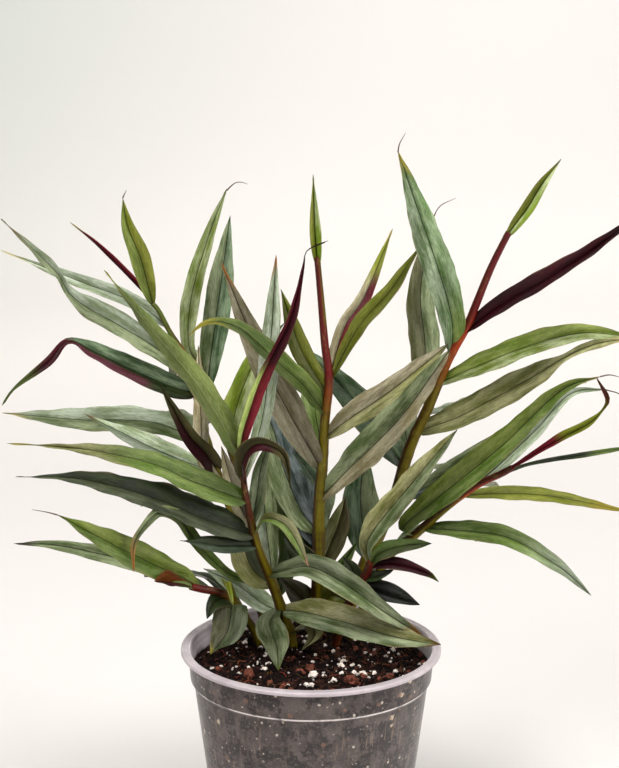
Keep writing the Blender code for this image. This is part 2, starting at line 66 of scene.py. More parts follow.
# How a blade looks: its upper face, the paler streaks on it, which are partly painted sheen, its underside,
# its midrib and how streaky it is.
LOOKS = {
    "fresh": ((76, 98, 34), (134, 148, 88), (112, 120, 62), (26, 34, 10), 0.45),
    "bright": ((98, 118, 30), (160, 170, 96), (122, 128, 60), (46, 54, 12), 0.45),
    "pale_rib": ((88, 112, 30), (146, 158, 90), (122, 128, 60), (176, 186, 126), 0.45),
    "sheen": ((98, 116, 34), (182, 192, 146), (122, 130, 70), (46, 54, 14), 0.7),
    "mint": ((88, 116, 66), (180, 198, 164), (120, 136, 90), (24, 40, 12), 0.75),
    "olive": ((104, 114, 18), (156, 158, 74), (108, 112, 42), (52, 54, 10), 0.45),
    "grey_green": ((74, 88, 50), (152, 162, 126), (108, 112, 76), (24, 26, 12), 0.6),
    "silver": ((120, 134, 100), (188, 198, 178), (138, 144, 116), (50, 56, 36), 0.65),
    "teal": ((44, 64, 38), (122, 138, 110), (92, 102, 70), (14, 20, 8), 0.6),
    "dark": ((20, 30, 8), (62, 74, 40), (40, 44, 20), (8, 10, 3), 0.4),
    "beige": ((128, 120, 86), (190, 182, 154), (132, 122, 90), (44, 30, 18), 0.65),
    "moss": ((98, 100, 52), (164, 162, 120), (104, 104, 66), (36, 32, 14), 0.6),
    "steel": ((56, 70, 66), (150, 162, 162), (86, 94, 84), (16, 20, 18), 0.8),
    "brown": ((52, 48, 22), (92, 86, 52), (58, 52, 32), (22, 16, 8), 0.45),
    "purple": ((36, 3, 9), (70, 12, 24), (56, 6, 15), (16, 1, 4), 0.35),
    "maroon": ((74, 12, 26), (124, 70, 84), (78, 18, 32), (36, 4, 12), 0.5),
    "wine": ((96, 10, 26), (140, 52, 60), (104, 18, 28), (54, 4, 12), 0.35),
    "rust": ((118, 52, 10), (148, 94, 40), (104, 44, 16), (52, 20, 6), 0.4),
}

TIPS = {
    "brown": (98, 62, 22),
    "orange": (156, 96, 40),
    "yellow": (140, 128, 34),
    "straw": (170, 154, 104),
    "pink": (158, 116, 96),
    "dark": (36, 22, 16),
    "green": (66, 80, 20),
    "plum": (66, 8, 20),
}
MARGIN_TONE = (160, 130, 96)


def leaf(height, width, facing, *route, look="fresh", half_look=None, then=None, strip=None, tip=None,
         whisker=(), widest=0.42, tail=1.05, pinch=None, fold=14, wave=0.05, light=(1, 1)):
    """A blade as in the CAD model, with its looks: half_look is for one of its halves, then is (look, start,
    end) for a change along it, strip is (look, start, end) for a turned-up edge of the half_look half, tip
    is (tone, start), whisker holds the points of a dry thread that goes on from its tip, and light is how
    light its look half and its other half are. These two factors hold partly each half's own tone and
    partly painted light and shade: a half in shade is painted darker, a lit half lighter."""
    return {
        "height": height, "width": width, "facing": facing, "route": route, "look": look,
        "half_look": half_look or look, "then": then, "strip": strip, "tip": tip, "whisker": whisker,
        "widest": widest, "tail": tail, "pinch": pinch, "fold": fold, "wave": wave, "light": light,
    }


def stem(route, radius, tones, *leaves, sheath=None):
    """A stalk's points, its radius at both ends, its tones by height and its leaves. The sheath is (from, to,
    tone) for heights where one side of it has a tone of its own."""
    return {"route": route, "radius": radius, "tones": tones, "leaves": leaves, "sheath": sheath}


STEMS = {
    "leafy_stem_front_left": stem(
        [(-8, 28, 60), (-10, 26, 106), (-14, 24, 122), (-20, 20, 142), (-27, 14, 163), (-32, 8, 188),
         (-34, 4, 207), (-35, 2, 217)],
        (3.8, 1.3), [(106, "olive_stalk"), (168, "olive_stalk"), (180, "red_brown"), (202, "red_brown"),
         (210, "scarlet")],
        leaf(213, 13, OPEN, (-53, -12, 250), (-71, -28, 277), (-94, -50, 313), widest=0.27, look="pale_rib",
             tip=("yellow", 0.93), light=(0.7, 0.37)),
        leaf(200, 10.5, FRONT, (-24, 9, 229), (-20, 18, 264), (-17, 20, 309), widest=0.5, look="silver",
             tip=("orange", 0.9), light=(1, 1.1)),
        leaf(187, 15, OPEN, (-59, -4, 202), (-76, -12, 212), (-105, -24, 222), (-141, -46, 231), widest=0.24,
             tail=1.7, then=("moss", 0.45, 0.75), tip=("yellow", 0.88), light=(0.95, 1.15)),
        leaf(169, 18, OPEN, (-55, 2, 182), (-78, -12, 196), (-109, -32, 210), (-137, -50, 216), widest=0.3,
             tail=1.4, look="dark", half_look="grey_green", tip=("dark", 0.96), light=(1, 0.34)),
        leaf(140, 7, OPEN, (-36, 24, 142), (-45, 24, 147), (-53, 14, 159), (-60, 5, 172), (-65, -4, 183),
             (-73, -12, 188), (-80, -16, 183), (-86, -18, 173), (-86, -20, 160), widest=0.5,
             then=("grey_green", 0.5, 0.8), tip=("orange", 0.84), light=(1.3, 1)),
        leaf(163, 10, OPEN, (-43, 4, 166), (-55, -2, 169), (-64, -8, 172), wave=0.12, look="dark",
             half_look="teal", light=(1, 0.4)),
        leaf(124, 12, OPEN, (-25, 27, 128), (-37, 28, 137), (-55, 28, 146), look="silver", light=(1.4, 1.2)),
        leaf(128, 15, OPEN, (-21, 14, 122), (-17, -6, 117), (-16, -22, 110), widest=0.45, look="grey_green",
             tip=("green", 0.9), light=(0.55, 0.6)),
        leaf(147, 15, OPEN, (-1, 4, 155), (17, -6, 149), (36, -10, 136), (56, -8, 122), widest=0.38,
             look="grey_green", tip=("orange", 0.88), light=(1, 0.6)),
        leaf(125, 17, OPEN, (-3, 10, 129), (17, -2, 128), (42, -10, 123), (64, -13, 120), widest=0.45,
             look="grey_green", half_look="moss", tip=("brown", 0.93), light=(1, 0.95)),
        leaf(172, 9, FRONT, (-37, 18, 185), (-45, 23, 212), look="beige", light=(0.35, 1)),
        leaf(174, 8, FRONT, (-27, 16, 188), (-25, 20, 202), (-20, 23, 216), look="grey_green",
             light=(0.5, 0.6)),
        leaf(168, 7, OPEN, (-24, 4, 179), (-17, -2, 181), (-10, -8, 177), (-1, -14, 160), widest=0.5,
             half_look="moss", tip=("pink", 0.92), light=(1, 0.65)),
        leaf(138, 17, FRONT, (-31, 22, 150), (-38, 28, 177), look="grey_green", half_look="moss",
             light=(0.4, 1.4)),
        leaf(113, 10, OPEN, (-1, 18, 119), (2, 9, 117), (-5, 2, 111), look="brown", half_look="moss"),
    ),
    "leafy_stem_middle": stem(
        [(3, 40, 60), (3, 40, 106), (4, 38, 150), (4, 37, 174), (6, 36, 201), (7, 35, 222), (9, 34, 243),
         (7, 33, 261), (5, 32, 284), (3, 31, 306)],
        (4.4, 1.5), [(106, "olive_stalk"), (222, "olive_stalk"), (236, "orange_brown"), (246, "dark_red"),
         (306, "plum")],
        leaf(196, 17, FRONT, (2, 33, 203), (-12, 30, 229), (-24, 27, 255), (-35, 25, 281), (-44, 22, 305),
             widest=0.38, tail=1.3, look="beige", tip=("orange", 0.9), light=(0.62, 0.65)),
        leaf(227, 13, OPEN, (-5, 22, 245), (-19, 4, 262), (-32, 0, 275), (-43, -2, 280), (-52, -4, 279),
             (-60, -6, 273), widest=0.3, tip=("yellow", 0.8), light=(1, 0.6)),
        leaf(236, 10, FRONT, (-5, 33, 259), (-15, 32, 290), look="olive", light=(0.8, 0.33)),
        leaf(244, 8, FRONT, (17, 36, 270), (27, 40, 285), (41, 48, 318), widest=0.36, look="wine",
             half_look="beige", then=("olive", 0.6, 0.75), tip=("straw", 0.9), light=(1, 1.25)),
        leaf(243, 9, OPEN, (24, 30, 272), (39, 27, 290), (53, 24, 312), widest=0.5, look="olive",
             light=(0.45, 0.75)),
        leaf(212, 15, OPEN, (17, 29, 223), (42, 20, 243), (67, 12, 266), widest=0.45, look="moss",
             half_look="beige", light=(1.3, 1)),
        leaf(181, 19, OPEN, (17, 27, 197), (44, 8, 231), (66, -12, 268), widest=0.45, look="beige",
             half_look="grey_green", light=(0.87, 1.15)),
        leaf(140, 14, FRONT, (10, 44, 154), (14, 47, 163), (18, 50, 178), look="brown", half_look="moss",
             light=(1, 0.8)),
        leaf(125, 8, FRONT, (12, 34, 140), (18, 30, 150), (24, 28, 161)),
        leaf(163, 18, FRONT, (-4, 41, 171), (-9, 43, 181), (-15, 46, 197), (-19, 50, 213), (-26, 52, 228),
             widest=0.4, look="steel", half_look="grey_green", light=(0.9, 1.25)),
        leaf(155, 13, FRONT, (-3, 46, 166), (-4, 52, 181), (-7, 56, 198), (-11, 58, 214), look="steel"),
        leaf(142, 12, FRONT, (-5, 34, 151), (-14, 32, 162), look="dark"),
        leaf(147, 9, FRONT, (-2, 42, 154), (-8, 44, 165), look="dark", half_look="fresh"),
        leaf(118, 15, OPEN, (-7, 36, 130), (-16, 35, 139), look="brown", light=(0.5, 0.3)),
        leaf(116, 15, OPEN, (10, 32, 130), (21, 28, 127), look="olive", light=(0.4, 0.5)),
        leaf(303, 8, FRONT, (2, 31, 320), (1, 33, 347), widest=0.35, tail=1.4, fold=45, look="sheen",
             half_look="olive", light=(1.5, 0.8)),
        leaf(160, 15, UP, (6, 70, 176), (8, 100, 170), (10, 130, 152), look="grey_green"),
        leaf(205, 14, UP, (2, 66, 222), (4, 98, 226), (8, 128, 212)),
        leaf(186, 15, UP, (-12, 66, 204), (-20, 96, 206), (-26, 128, 190), look="teal"),
        sheath=(268, 308, "olive_stalk"),
    ),
    "leafy_stem_right": stem(
        [(12, 41, 60), (16, 46, 106), (21, 47, 123), (29, 46, 144), (36, 45, 161), (43, 44, 178),
         (48, 42, 198), (53, 41, 213), (60, 40, 229), (69, 37, 253), (78, 34, 271), (82, 32, 282),
         (89, 30, 301), (97, 27, 319)],
        (4.6, 1.6), [(106, "olive_stalk"), (236, "olive_stalk"), (250, "orange_brown"), (262, "orange_red"),
         (280, "dark_red"), (319, "plum")],
        leaf(257, 16, FRONT, (70, 28, 275), (63, 16, 300), (48, -8, 342), (40, -24, 364), widest=0.38,
             half_look="mint", then=("mint", 0.1, 0.32), tip=("yellow", 0.86), light=(1.3, 0.85),
             whisker=((40, -24, 363.5), (40.5, -24, 367), (42, -24, 370), (43.5, -23, 372.5))),
        leaf(228, 16, FRONT, (58, 52, 260), (56, 60, 284), (62, 70, 319), look="grey_green", half_look="moss",
             light=(1.2, 0.42), whisker=((62, 70, 319), (66, 71, 326), (74, 72, 330))),
        leaf(317, 8, FRONT, (106, 24, 332), (112, 22, 343), (121, 20, 356), fold=40, look="sheen",
             half_look="olive", light=(1.5, 0.7)),
        leaf(241, 14, OPEN, (82, 34, 250), (109, 26, 263), (134, 16, 271), (158, 8, 270), look="sheen",
             half_look="bright", tip=("straw", 0.94), light=(0.9, 0.9)),
        leaf(214, 15, OPEN, (76, 42, 223), (106, 44, 239), (138, 46, 257), (163, 48, 262), widest=0.36,
             pinch=0.72, look="moss", tip=("straw", 0.9), light=(1.3, 1)),
        leaf(196, 16, FRONT, (33, 60, 213), (18, 70, 230), (-6, 80, 252), look="teal", light=(1.5, 0.5)),
        leaf(145, 20, FRONT, (27, 54, 161), (26, 60, 176), (28, 66, 200), look="grey_green",
             half_look="teal"),
        leaf(179, 11, OPEN, (56, 40, 184), (71, 34, 196), (95, 26, 215), (116, 20, 237), look="steel",
             half_look="grey_green", whisker=((116, 20, 237), (125, 18, 243), (136, 16, 246))),
        leaf(178, 14, UP, (58, 75, 186), (72, 104, 178), (84, 128, 160)),
        leaf(203, 14, UP, (48, 72, 220), (48, 100, 220), (46, 128, 204), look="grey_green"),
        leaf(224, 13, UP, (79, 68, 223), (101, 98, 223), (119, 120, 222), look="silver"),
    ),
    "leafy_stem_low_right": stem(
        [(18, 36, 70), (22, 33, 106), (38, 26, 151), (52, 20, 166), (67, 14, 182), (81, 8, 195), (93, 5, 202),
         (99, 3, 206)],
        (3.4, 1.6), [(106, "olive_stalk"), (184, "olive_stalk"), (192, "orange_red"), (204, "plum")],
        leaf(142, 14, OPEN, (28, 24, 157), (32, 17, 171), (49, 2, 198), (70, -16, 230), widest=0.45,
             look="grey_green", half_look="moss", light=(1.25, 1.55)),
        leaf(166, 15, OPEN, (46, 17, 171), (59, 9, 186), (92, -8, 220), (118, -24, 251), (135, -34, 260),
             half_look="bright", tip=("straw", 0.95), light=(1, 0.75),
             whisker=((135, -34, 260), (140, -35, 261), (147, -36, 259))),
        leaf(194, 8, OPEN, (94, 11, 206), (111, 14, 222), (128, 16, 240), (145, 18, 242), look="silver",
             light=(1.2, 0.6), whisker=((145, 18, 242), (152, 18, 240), (158, 18, 236))),
        leaf(190, 8, OPEN, (94, 17, 189), (121, 30, 184), (166, 48, 170), look="olive", tip=("yellow", 0.7)),
        leaf(170, 12, OPEN, (76, 6, 173), (97, -10, 174), (120, -26, 164), (134, -36, 153),
             then=("silver", 0.5, 0.9), light=(1, 0.75)),
        leaf(203, 3, OPEN, (111, 9, 207), (136, 13, 210), (163, 18, 213), widest=0.6, look="dark",
             then=("fresh", 0.6, 0.75), tip=("brown", 0.9)),
        leaf(151, 13, UP, (56, 48, 160), (74, 72, 154), (90, 94, 140)),
        leaf(174, 12, UP, (76, 40, 184), (92, 66, 180), (104, 92, 168), look="grey_green"),
    ),
    "leafy_stem_low_left": stem(
        [(-22, 32, 70), (-27, 28, 106), (-34, 24, 122), (-40, 20, 132), (-47, 14, 138), (-56, 8, 142),
         (-60, 5, 144)],
        (2.8, 1.8), [(106, "olive_stalk"), (130, "olive_stalk"), (138, "red_brown"), (143, "dark_red")],
        leaf(142, 16, OPEN, (-63, 4, 149), (-74, -4, 157), (-95, -18, 173), (-120, -38, 194), look="bright",
             half_look="fresh", tip=("brown", 0.95), light=(0.85, 1),
             whisker=((-120, -38, 194), (-125, -40, 196), (-131, -43, 198))),
        leaf(140, 10, OPEN, (-63, 15, 144), (-91, 12, 155), (-125, 6, 165), (-147, 0, 168), look="grey_green",
             tip=("dark", 0.88), light=(1, 1.4)),
        leaf(129, 19, OPEN, (-40, 13, 131), (-42, 4, 121), (-50, -8, 113), look="moss",
             half_look="grey_green", tip=("yellow", 0.88), light=(0.27, 0.48)),
        leaf(128, 6, OPEN, (-43, 17, 143), (-41, 10, 140), (-39, 5, 134), look="olive"),
        leaf(126, 11, OPEN, (-44, 16, 134), (-49, 8, 134), (-52, 2, 128), look="dark"),
        leaf(122, 13, UP, (-50, 44, 134), (-70, 64, 132), (-90, 82, 124), look="dark"),
    ),
    "leafy_stem_back_left": stem(
        [(-19, 41, 60), (-24, 46, 106), (-29, 48, 128), (-37, 50, 154), (-45, 50, 181), (-53, 49, 208),
         (-59, 46, 233), (-63, 43, 252), (-71, 39, 267), (-76, 36, 278), (-79, 35, 282)],
        (2.7, 1.2), [(106, "olive_stalk"), (220, "olive_stalk"), (238, "orange_red"), (254, "orange_red"),
         (262, "green_stalk"), (282, "green_stalk")],
        leaf(244, 14, OPEN, (-76, 34, 259), (-94, 24, 273), (-115, 12, 289), (-124, 6, 304), (-147, -4, 330),
             widest=0.34, pinch=0.66, look="silver", half_look="grey_green", tip=("brown", 0.86),
             light=(0.75, 1.3)),
        leaf(271, 9, OPEN, (-88, 43, 281), (-116, 48, 291), (-157, 54, 306), widest=0.36, tail=1.5,
             look="silver", tip=("straw", 0.85), light=(0.9, 1.2)),
        leaf(282, 10, FRONT, (-84, 30, 305), (-90, 28, 322), (-92, 26, 336), look="olive", half_look="bright",
             light=(0.85, 0.8), whisker=((-92, 26, 336), (-91, 26, 338), (-90, 26, 340))),
        leaf(233, 13, OPEN, (-74, 36, 241), (-105, 24, 259), (-119, 16, 267), (-129, 12, 257), (-145, 8, 245),
             (-151, 4, 237), widest=0.25, tail=1.3, pinch=0.62, look="teal", half_look="dark",
             then=("purple", 0.56, 0.62), strip=("maroon", 0.2, 0.62), tip=("green", 0.76), light=(1.7, 1.4)),
        leaf(207, 15, OPEN, (-83, 50, 218), (-119, 54, 218), (-160, 60, 220), look="silver",
             half_look="grey_green", tip=("straw", 0.85), light=(1.25, 1.3)),
        leaf(191, 12, OPEN, (-62, 42, 198), (-86, 28, 213), (-112, 16, 230), look="silver",
             tip=("brown", 0.88), light=(2.3, 0.7)),
        leaf(184, 8, FRONT, (-55, 45, 199), (-56, 41, 226), (-57, 44, 259), look="beige", light=(1, 1.7)),
        leaf(154, 13, UP, (-58, 72, 168), (-78, 94, 166), (-94, 114, 154)),
        leaf(196, 14, UP, (-66, 76, 212), (-80, 102, 210), (-90, 128, 194), look="grey_green"),
    ),
    "leafy_stem_back": stem(
        [(-10, 43, 60), (-13, 50, 106), (-20, 54, 131), (-28, 60, 157), (-37, 64, 183), (-46, 64, 210),
         (-53, 62, 229), (-58, 60, 245)],
        (2.5, 1.3), [(106, "olive_stalk"), (200, "olive_stalk"), (222, "orange_brown"), (245, "scarlet")],
        leaf(245, 9.5, FRONT, (-63, 60, 257), (-61, 62, 282), (-52, 66, 312), (-43, 72, 335), look="sheen",
             light=(0.82, 0.8),
             whisker=((-43, 72, 334), (-40.5, 72, 336.5), (-38, 73, 338), (-35, 73, 338), (-32.5, 74, 337))),
        leaf(232, 15, FRONT, (-51, 66, 255), (-46, 76, 290), (-42, 88, 319), look="teal",
             half_look="grey_green", light=(1.5, 1)),
        leaf(195, 13, FRONT, (-39, 56, 222), (-27, 48, 253), (-13, 44, 271), look="sheen", half_look="bright",
             light=(1.3, 1.9)),
        leaf(131, 13, FRONT, (-22, 52, 150), (-24, 54, 168), (-25, 56, 186), (-21, 58, 209), widest=0.5,
             look="grey_green", half_look="silver", light=(2, 1.1)),
        leaf(122, 12, FRONT, (-11, 62, 143), (-14, 68, 161), (-16, 72, 176), (-17, 76, 192),
             light=(0.4, 0.45)),
        leaf(150, 14, UP, (-30, 88, 166), (-36, 116, 162), (-42, 138, 146)),
        leaf(198, 14, UP, (-46, 96, 214), (-52, 124, 210), (-58, 148, 192), look="teal"),
        leaf(238, 13, UP, (-64, 90, 244), (-72, 116, 238), (-78, 138, 218), look="grey_green"),
    ),
    "leafy_stem_short": stem(
        [(8, 26, 75), (12, 24, 106), (20, 16, 133), (24, 12, 142), (28, 9, 150), (30, 7, 156)],
        (3, 2.2), [(106, "red_brown"), (140, "red_brown"), (156, "dark_red")],
        leaf(144, 11, OPEN, (37, 6, 141), (54, -2, 137), look="dark", light=(0.2, 0.2)),
        leaf(147, 6, OPEN, (33, 6, 149), (41, 4, 153), look="dark"),
        leaf(138, 9, OPEN, (21, 14, 149), (16, 16, 156), look="dark"),
        leaf(154, 9, OPEN, (34, 4, 162), (46, 0, 167), (59, -6, 170), wave=0.1, light=(0.3, 0.55)),
    ),
}

YOUNG_LEAVES = {
    "young_leaf_front_left_top": ("leafy_stem_front_left", leaf(
        216, 9, SIDEWAYS, (-32, -2, 228), (-24, -6, 252), (-10, -10, 282), (-4, -12, 307), (-2, -12, 316),
        (8, -14, 321), widest=0.3, tail=1.5, fold=35, look="wine", half_look="pale_rib",
        then=("purple", 0.3, 0.42), tip=("dark", 0.9), light=(1.2, 1.9),
    )),
    "young_leaf_front_left_side": ("leafy_stem_front_left", leaf(
        198, 9, FRONT, (-34, -4, 210), (-30, -9, 219), (-23, -13, 222), (-14, -15, 218), (-11, -16, 210),
        (-10, -17, 201), widest=0.3, fold=30, look="purple", half_look="brown", then=("brown", 0.6, 0.7),
    )),
    "young_leaf_back_left_top": ("leafy_stem_back_left", leaf(
        282, 3.5, OPEN, (-85, 37, 290), (-104, 40, 309), (-120, 42, 322), fold=35, look="wine",
        half_look="purple", tip=("straw", 0.85),
    )),
    "young_leaf_back_left_side": ("leafy_stem_back_left", leaf(
        192, 11, FRONT, (-53, 38, 203), (-62, 28, 217), (-75, 20, 244), widest=0.3, fold=25, look="brown",
        half_look="purple", then=("brown", 0.55, 0.8),
    )),
    "young_leaf_right": ("leafy_stem_right", leaf(
        268, 11, OPEN, (94, 28, 283), (115, 22, 297), (136, 16, 312), (156, 8, 329), fold=25, wave=0.1,
        look="purple",
    )),
    "young_leaf_low_right_top": ("leafy_stem_low_right", leaf(
        205, 6, OPEN, (121, -2, 222), (135, -6, 231), (141, -8, 238), (143, -8, 244), (137, -8, 254),
        widest=0.55, pinch=0.75, fold=35, look="wine", then=("olive", 0.36, 0.46), tip=("plum", 0.72),
    )),
    "young_leaf_low_left_top": ("leafy_stem_low_left", leaf(
        143, 11, OPEN, (-67, -4, 150), (-76, -20, 155), widest=0.6, fold=35, look="rust", half_look="purple",
        light=(0.45, 1),
    )),
    "young_leaf_short_stem": ("leafy_stem_short", leaf(
        155, 7, OPEN, (42, 2, 157), (57, -4, 154), (63, -6, 150), fold=20, look="purple", tip=("green", 0.85),
    )),
}

STALK_TONES = {
    "olive_stalk": (101, 92, 2),
    "green_stalk": (84, 100, 36),
    "orange_brown": (132, 62, 14),
    "orange_red": (168, 58, 20),
    "red_brown": (70, 20, 7),
    "scarlet": (182, 18, 28),
    "dark_red": (96, 7, 19),
    "plum": (84, 6, 26),
}
NODE_TONE = (58, 22, 8)
MARGIN_AND_SHADE_BROWN = (46, 16, 4)
WHISKER_TONE = (96, 78, 80)

# Blades and stalks, with their lengths in mm
CURVE_STEPS = 12  # between two points of a route
STATION = 2.4  # between two rows of a blade
STALK_STATION = 1.6
COLUMNS = 17
MIDRIB_CROWDING = 1.25  # above 1, so that a blade's columns lie closer at its midrib
ROOT_HALF_WIDTH = 1.3
TIP_HALF_WIDTH = 0.55
TIP_LENGTH = 3.0
EDGE_WOBBLE = 0.15
WOBBLE_LENGTHS = (21, 7)
RIPPLE_LENGTH = 17
SWELL_LENGTH = 16
CLOUD_LENGTH = 26
ARCH = 0.13
GROOVE_DEPTH = 0.22
GROOVE_HALF_WIDTH = 0.55
MIDDLE_THICKNESS = 0.42
EDGE_THICKNESS = 0.18
FULL_THICKNESS_FROM = 1.2  # in half-width
PINCH_DEPTH = 0.6
PINCH_REACH = 0.09
SEED_SHIFT = 37.0  # along a blade's texture, for each step of its seed
BACK_SHIFT = (0, 0, 10)  # from the texture of a blade's face to that of its back
WHISKER_RADIUS = (0.42, 0.12)
STALK_SIDES = 18
TUBE_FACING = (0.0, -1.0, 0.3)
TUBE_GRAIN = 3  # how far apart opposite sides of a tube lie in its own texture place
SMOOTH_ANGLE = math.radians(50)
BLADE_KIND, TUBE_KIND = 0, 1  # which of a piece's two materials its faces have


def linear(colour):
    """A colour of 0 to 255 as Blender's linear values."""
    share = np.array(colour, dtype=float) / 255
    return np.where(share <= 0.04045, share / 12.92, ((share + 0.055) / 1.055) ** 2.4)


def smoothstep(value, start, end):
    share = np.clip((np.asarray(value, dtype=float) - start) / (end - start), 0, 1)
    return share * share * (3 - 2 * share)


def mixed(first, second, share):
    """Two colours mixed. The share has one axis fewer than the colours."""
    share = np.asarray(share)[..., None]
    return first * (1 - share) + second * share


def unit(vectors):
    return vectors / np.linalg.norm(vectors, axis=-1, keepdims=True)


def travelled(points):
    """How far along the line through these points each of them is."""
    return np.concatenate([[0], np.cumsum(np.linalg.norm(np.diff(points, axis=0), axis=1))])


def smooth_route(points, spacing):
    """Evenly spaced points of a smooth curve through these points, and its length, in mm."""
    points = np.array(points, dtype=float)
    knots = [2 * points[0] - points[1], *points, 2 * points[-1] - points[-2]]
    dense = []
    for before, start, end, after in zip(knots, knots[1:], knots[2:], knots[3:]):
        for t in np.linspace(0, 1, CURVE_STEPS, endpoint=False):
            dense.append(
                (2 * t**3 - 3 * t**2 + 1) * start
                + (t**3 - 2 * t**2 + t) * 0.5 * (end - before)
                + (3 * t**2 - 2 * t**3) * end
                + (t**3 - t**2) * 0.5 * (after - start)
            )
    dense = np.array([*dense, points[-1]])
    far = travelled(dense)
    wanted = np.linspace(0, far[-1], max(6, round(far[-1] / spacing) + 1))
    return np.stack([np.interp(wanted, far, column) for column in dense.T], axis=1), far[-1]


def frames(points, facing, start):
    """Normals and sides along a route. The normal looks along facing at the row called start."""
    tangents = unit(np.gradient(points, axis=0))
    normals = np.zeros_like(points)
    normals[start] = facing
    onward = [(i, i - 1) for i in range(start + 1, len(points))]
    backward = [(i, i + 1) for i in range(start - 1, -1, -1)]
    for i, source in [(start, start), *onward, *backward]:
        guess = normals[source]
        normals[i] = unit(guess - tangents[i] * guess.dot(tangents[i]))
    return normals, np.cross(tangents, normals)


def lance(share, blade):
    """Half-width of a lance-shaped blade, from 0 at its ends to 1 where it is widest."""
    widest = blade["widest"]
    share = np.clip(share, 1e-6, 1)
    rise = (share / widest) ** (blade["tail"] * widest / (1 - widest))
    fall = ((1 - share) / (1 - widest)) ** blade["tail"]
    narrowed = 1.0
    if blade["pinch"]:
        narrowed = 1 - PINCH_DEPTH * np.exp(-(((share - blade["pinch"]) / PINCH_REACH) ** 2))
    return rise * fall * narrowed


def in_scene(name, data):
    piece = bpy.data.objects.new(name, data)
    bpy.context.scene.collection.objects.link(piece)
    return piece


class Growth:
    """Gathers one piece: its faces, and at each point its place and what its materials read."""

    def __init__(self):
        self.faces, self.kinds = [], []
        self.columns = {label: [] for label in ("point", "tone", "streak", "rib", "place")}

    def add(self, faces, kind, **columns):
        """Adds faces of one material. Each column is a list of grids."""
        count = sum(map(len, self.columns["point"]))
        self.faces += [tuple(corner + count for corner in face) for face in faces]
        self.kinds += [kind] * len(faces)
        for label, grids in columns.items():
            self.columns[label] += [grid.reshape(-1, grid.shape[-1]) for grid in grids]

    def finish(self, name, materials, slot):
        mesh = bpy.data.meshes.new(name)
        mesh.from_pydata(np.concatenate(self.columns.pop("point")) * MM, [], self.faces)
        for label, grids in self.columns.items():
            kind, field = ("FLOAT_VECTOR", "vector") if label == "place" else ("FLOAT_COLOR", "color")
            layer = mesh.attributes.new(label, kind, "POINT")
            layer.data.foreach_set(field, np.concatenate(grids).astype(np.float32).ravel())
        for material in materials:
            mesh.materials.append(material)
        mesh.polygons.foreach_set("material_index", np.array(self.kinds, dtype=np.int32))
        mesh.shade_smooth()
        mesh.set_sharp_from_angle(angle=SMOOTH_ANGLE)
        piece = in_scene(name, mesh)
        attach(piece, "root")
        return piece


def with_alpha(colour, alpha=1):
    return np.concatenate([colour, np.full(colour.shape[:-1] + (1,), alpha, dtype=float)], axis=-1)


def ridges(along, across, u, v, seed):
    """Smooth noise over a blade, with this many patches along it and across its half."""
    return np.array([[noise.noise(Vector((a * along, b * across, seed))) for b in v] for a in u.ravel()])


def blade_grid(stem, blade, seed):
    """A blade's top and under face as grids of points, and for its tones and texture the shares along and
    across it, the distance from its midrib, its wobble and its length."""
    stalk, _ = smooth_route(stem["route"], 2)
    start = stalk[np.argmin(abs(stalk[:, 2] - blade["height"]))]
    points, length = smooth_route([tuple(start), *blade["route"]], STATION)
    normals, sides = (grid[:, None] for grid in frames(points, blade["facing"], len(points) // 2))
    u = np.linspace(0, 1, len(points))[:, None]
    t = np.linspace(-1, 1, COLUMNS)
    v = np.sign(t) * abs(t) ** MIDRIB_CROWDING
    half = 0.5 * blade["width"] * lance(u, blade) + ROOT_HALF_WIDTH * (1 - u) ** 5
    half = np.maximum(half, TIP_HALF_WIDTH * smoothstep((1 - u) * length, 0.0, TIP_LENGTH) + 0.05)
    slow, fast = (ridges(length / wave, 1.1, u, np.sign(v) * 3, seed) for wave in WOBBLE_LENGTHS)
    wobble = slow + 0.4 * fast
    reach = half * (1 + EDGE_WOBBLE * wobble * abs(v))
    fold = math.radians(blade["fold"])
    ripple = blade["wave"] * blade["width"] * np.sin(2 * np.pi * (1.7 * u + 0.25 * v)) * u
    small = 0.03 * blade["width"] * np.sin(2 * np.pi * (length / RIPPLE_LENGTH * u + 0.35 * v + seed % 7))
    arch = ARCH * reach * np.sin(np.pi * abs(v)) ** 1.2
    soft = 0.5 * ridges(length / SWELL_LENGTH, 1.4, u, v, seed + 3.7) * smoothstep(u, 0.05, 0.25)
    lift = reach * math.sin(fold) * (abs(v) - 0.5) + arch + (ripple + small * v**2) * abs(v) + soft
    out = reach * math.cos(fold) * v
    middle = points[:, None] + sides * out[..., None] + normals * lift[..., None]
    groove = GROOVE_DEPTH * np.exp(-((v * half / GROOVE_HALF_WIDTH) ** 2)) * smoothstep(half, 0.5, 2.5)
    thick = EDGE_THICKNESS + (MIDDLE_THICKNESS - EDGE_THICKNESS) * (1 - abs(v))
    thick = thick * np.minimum(1, half / FULL_THICKNESS_FROM)
    top = middle + normals * (thick / 2 - groove)[..., None]
    under = middle - normals * (thick / 2 + 1.3 * groove)[..., None]
    return top, under, u, v, out, wobble, length


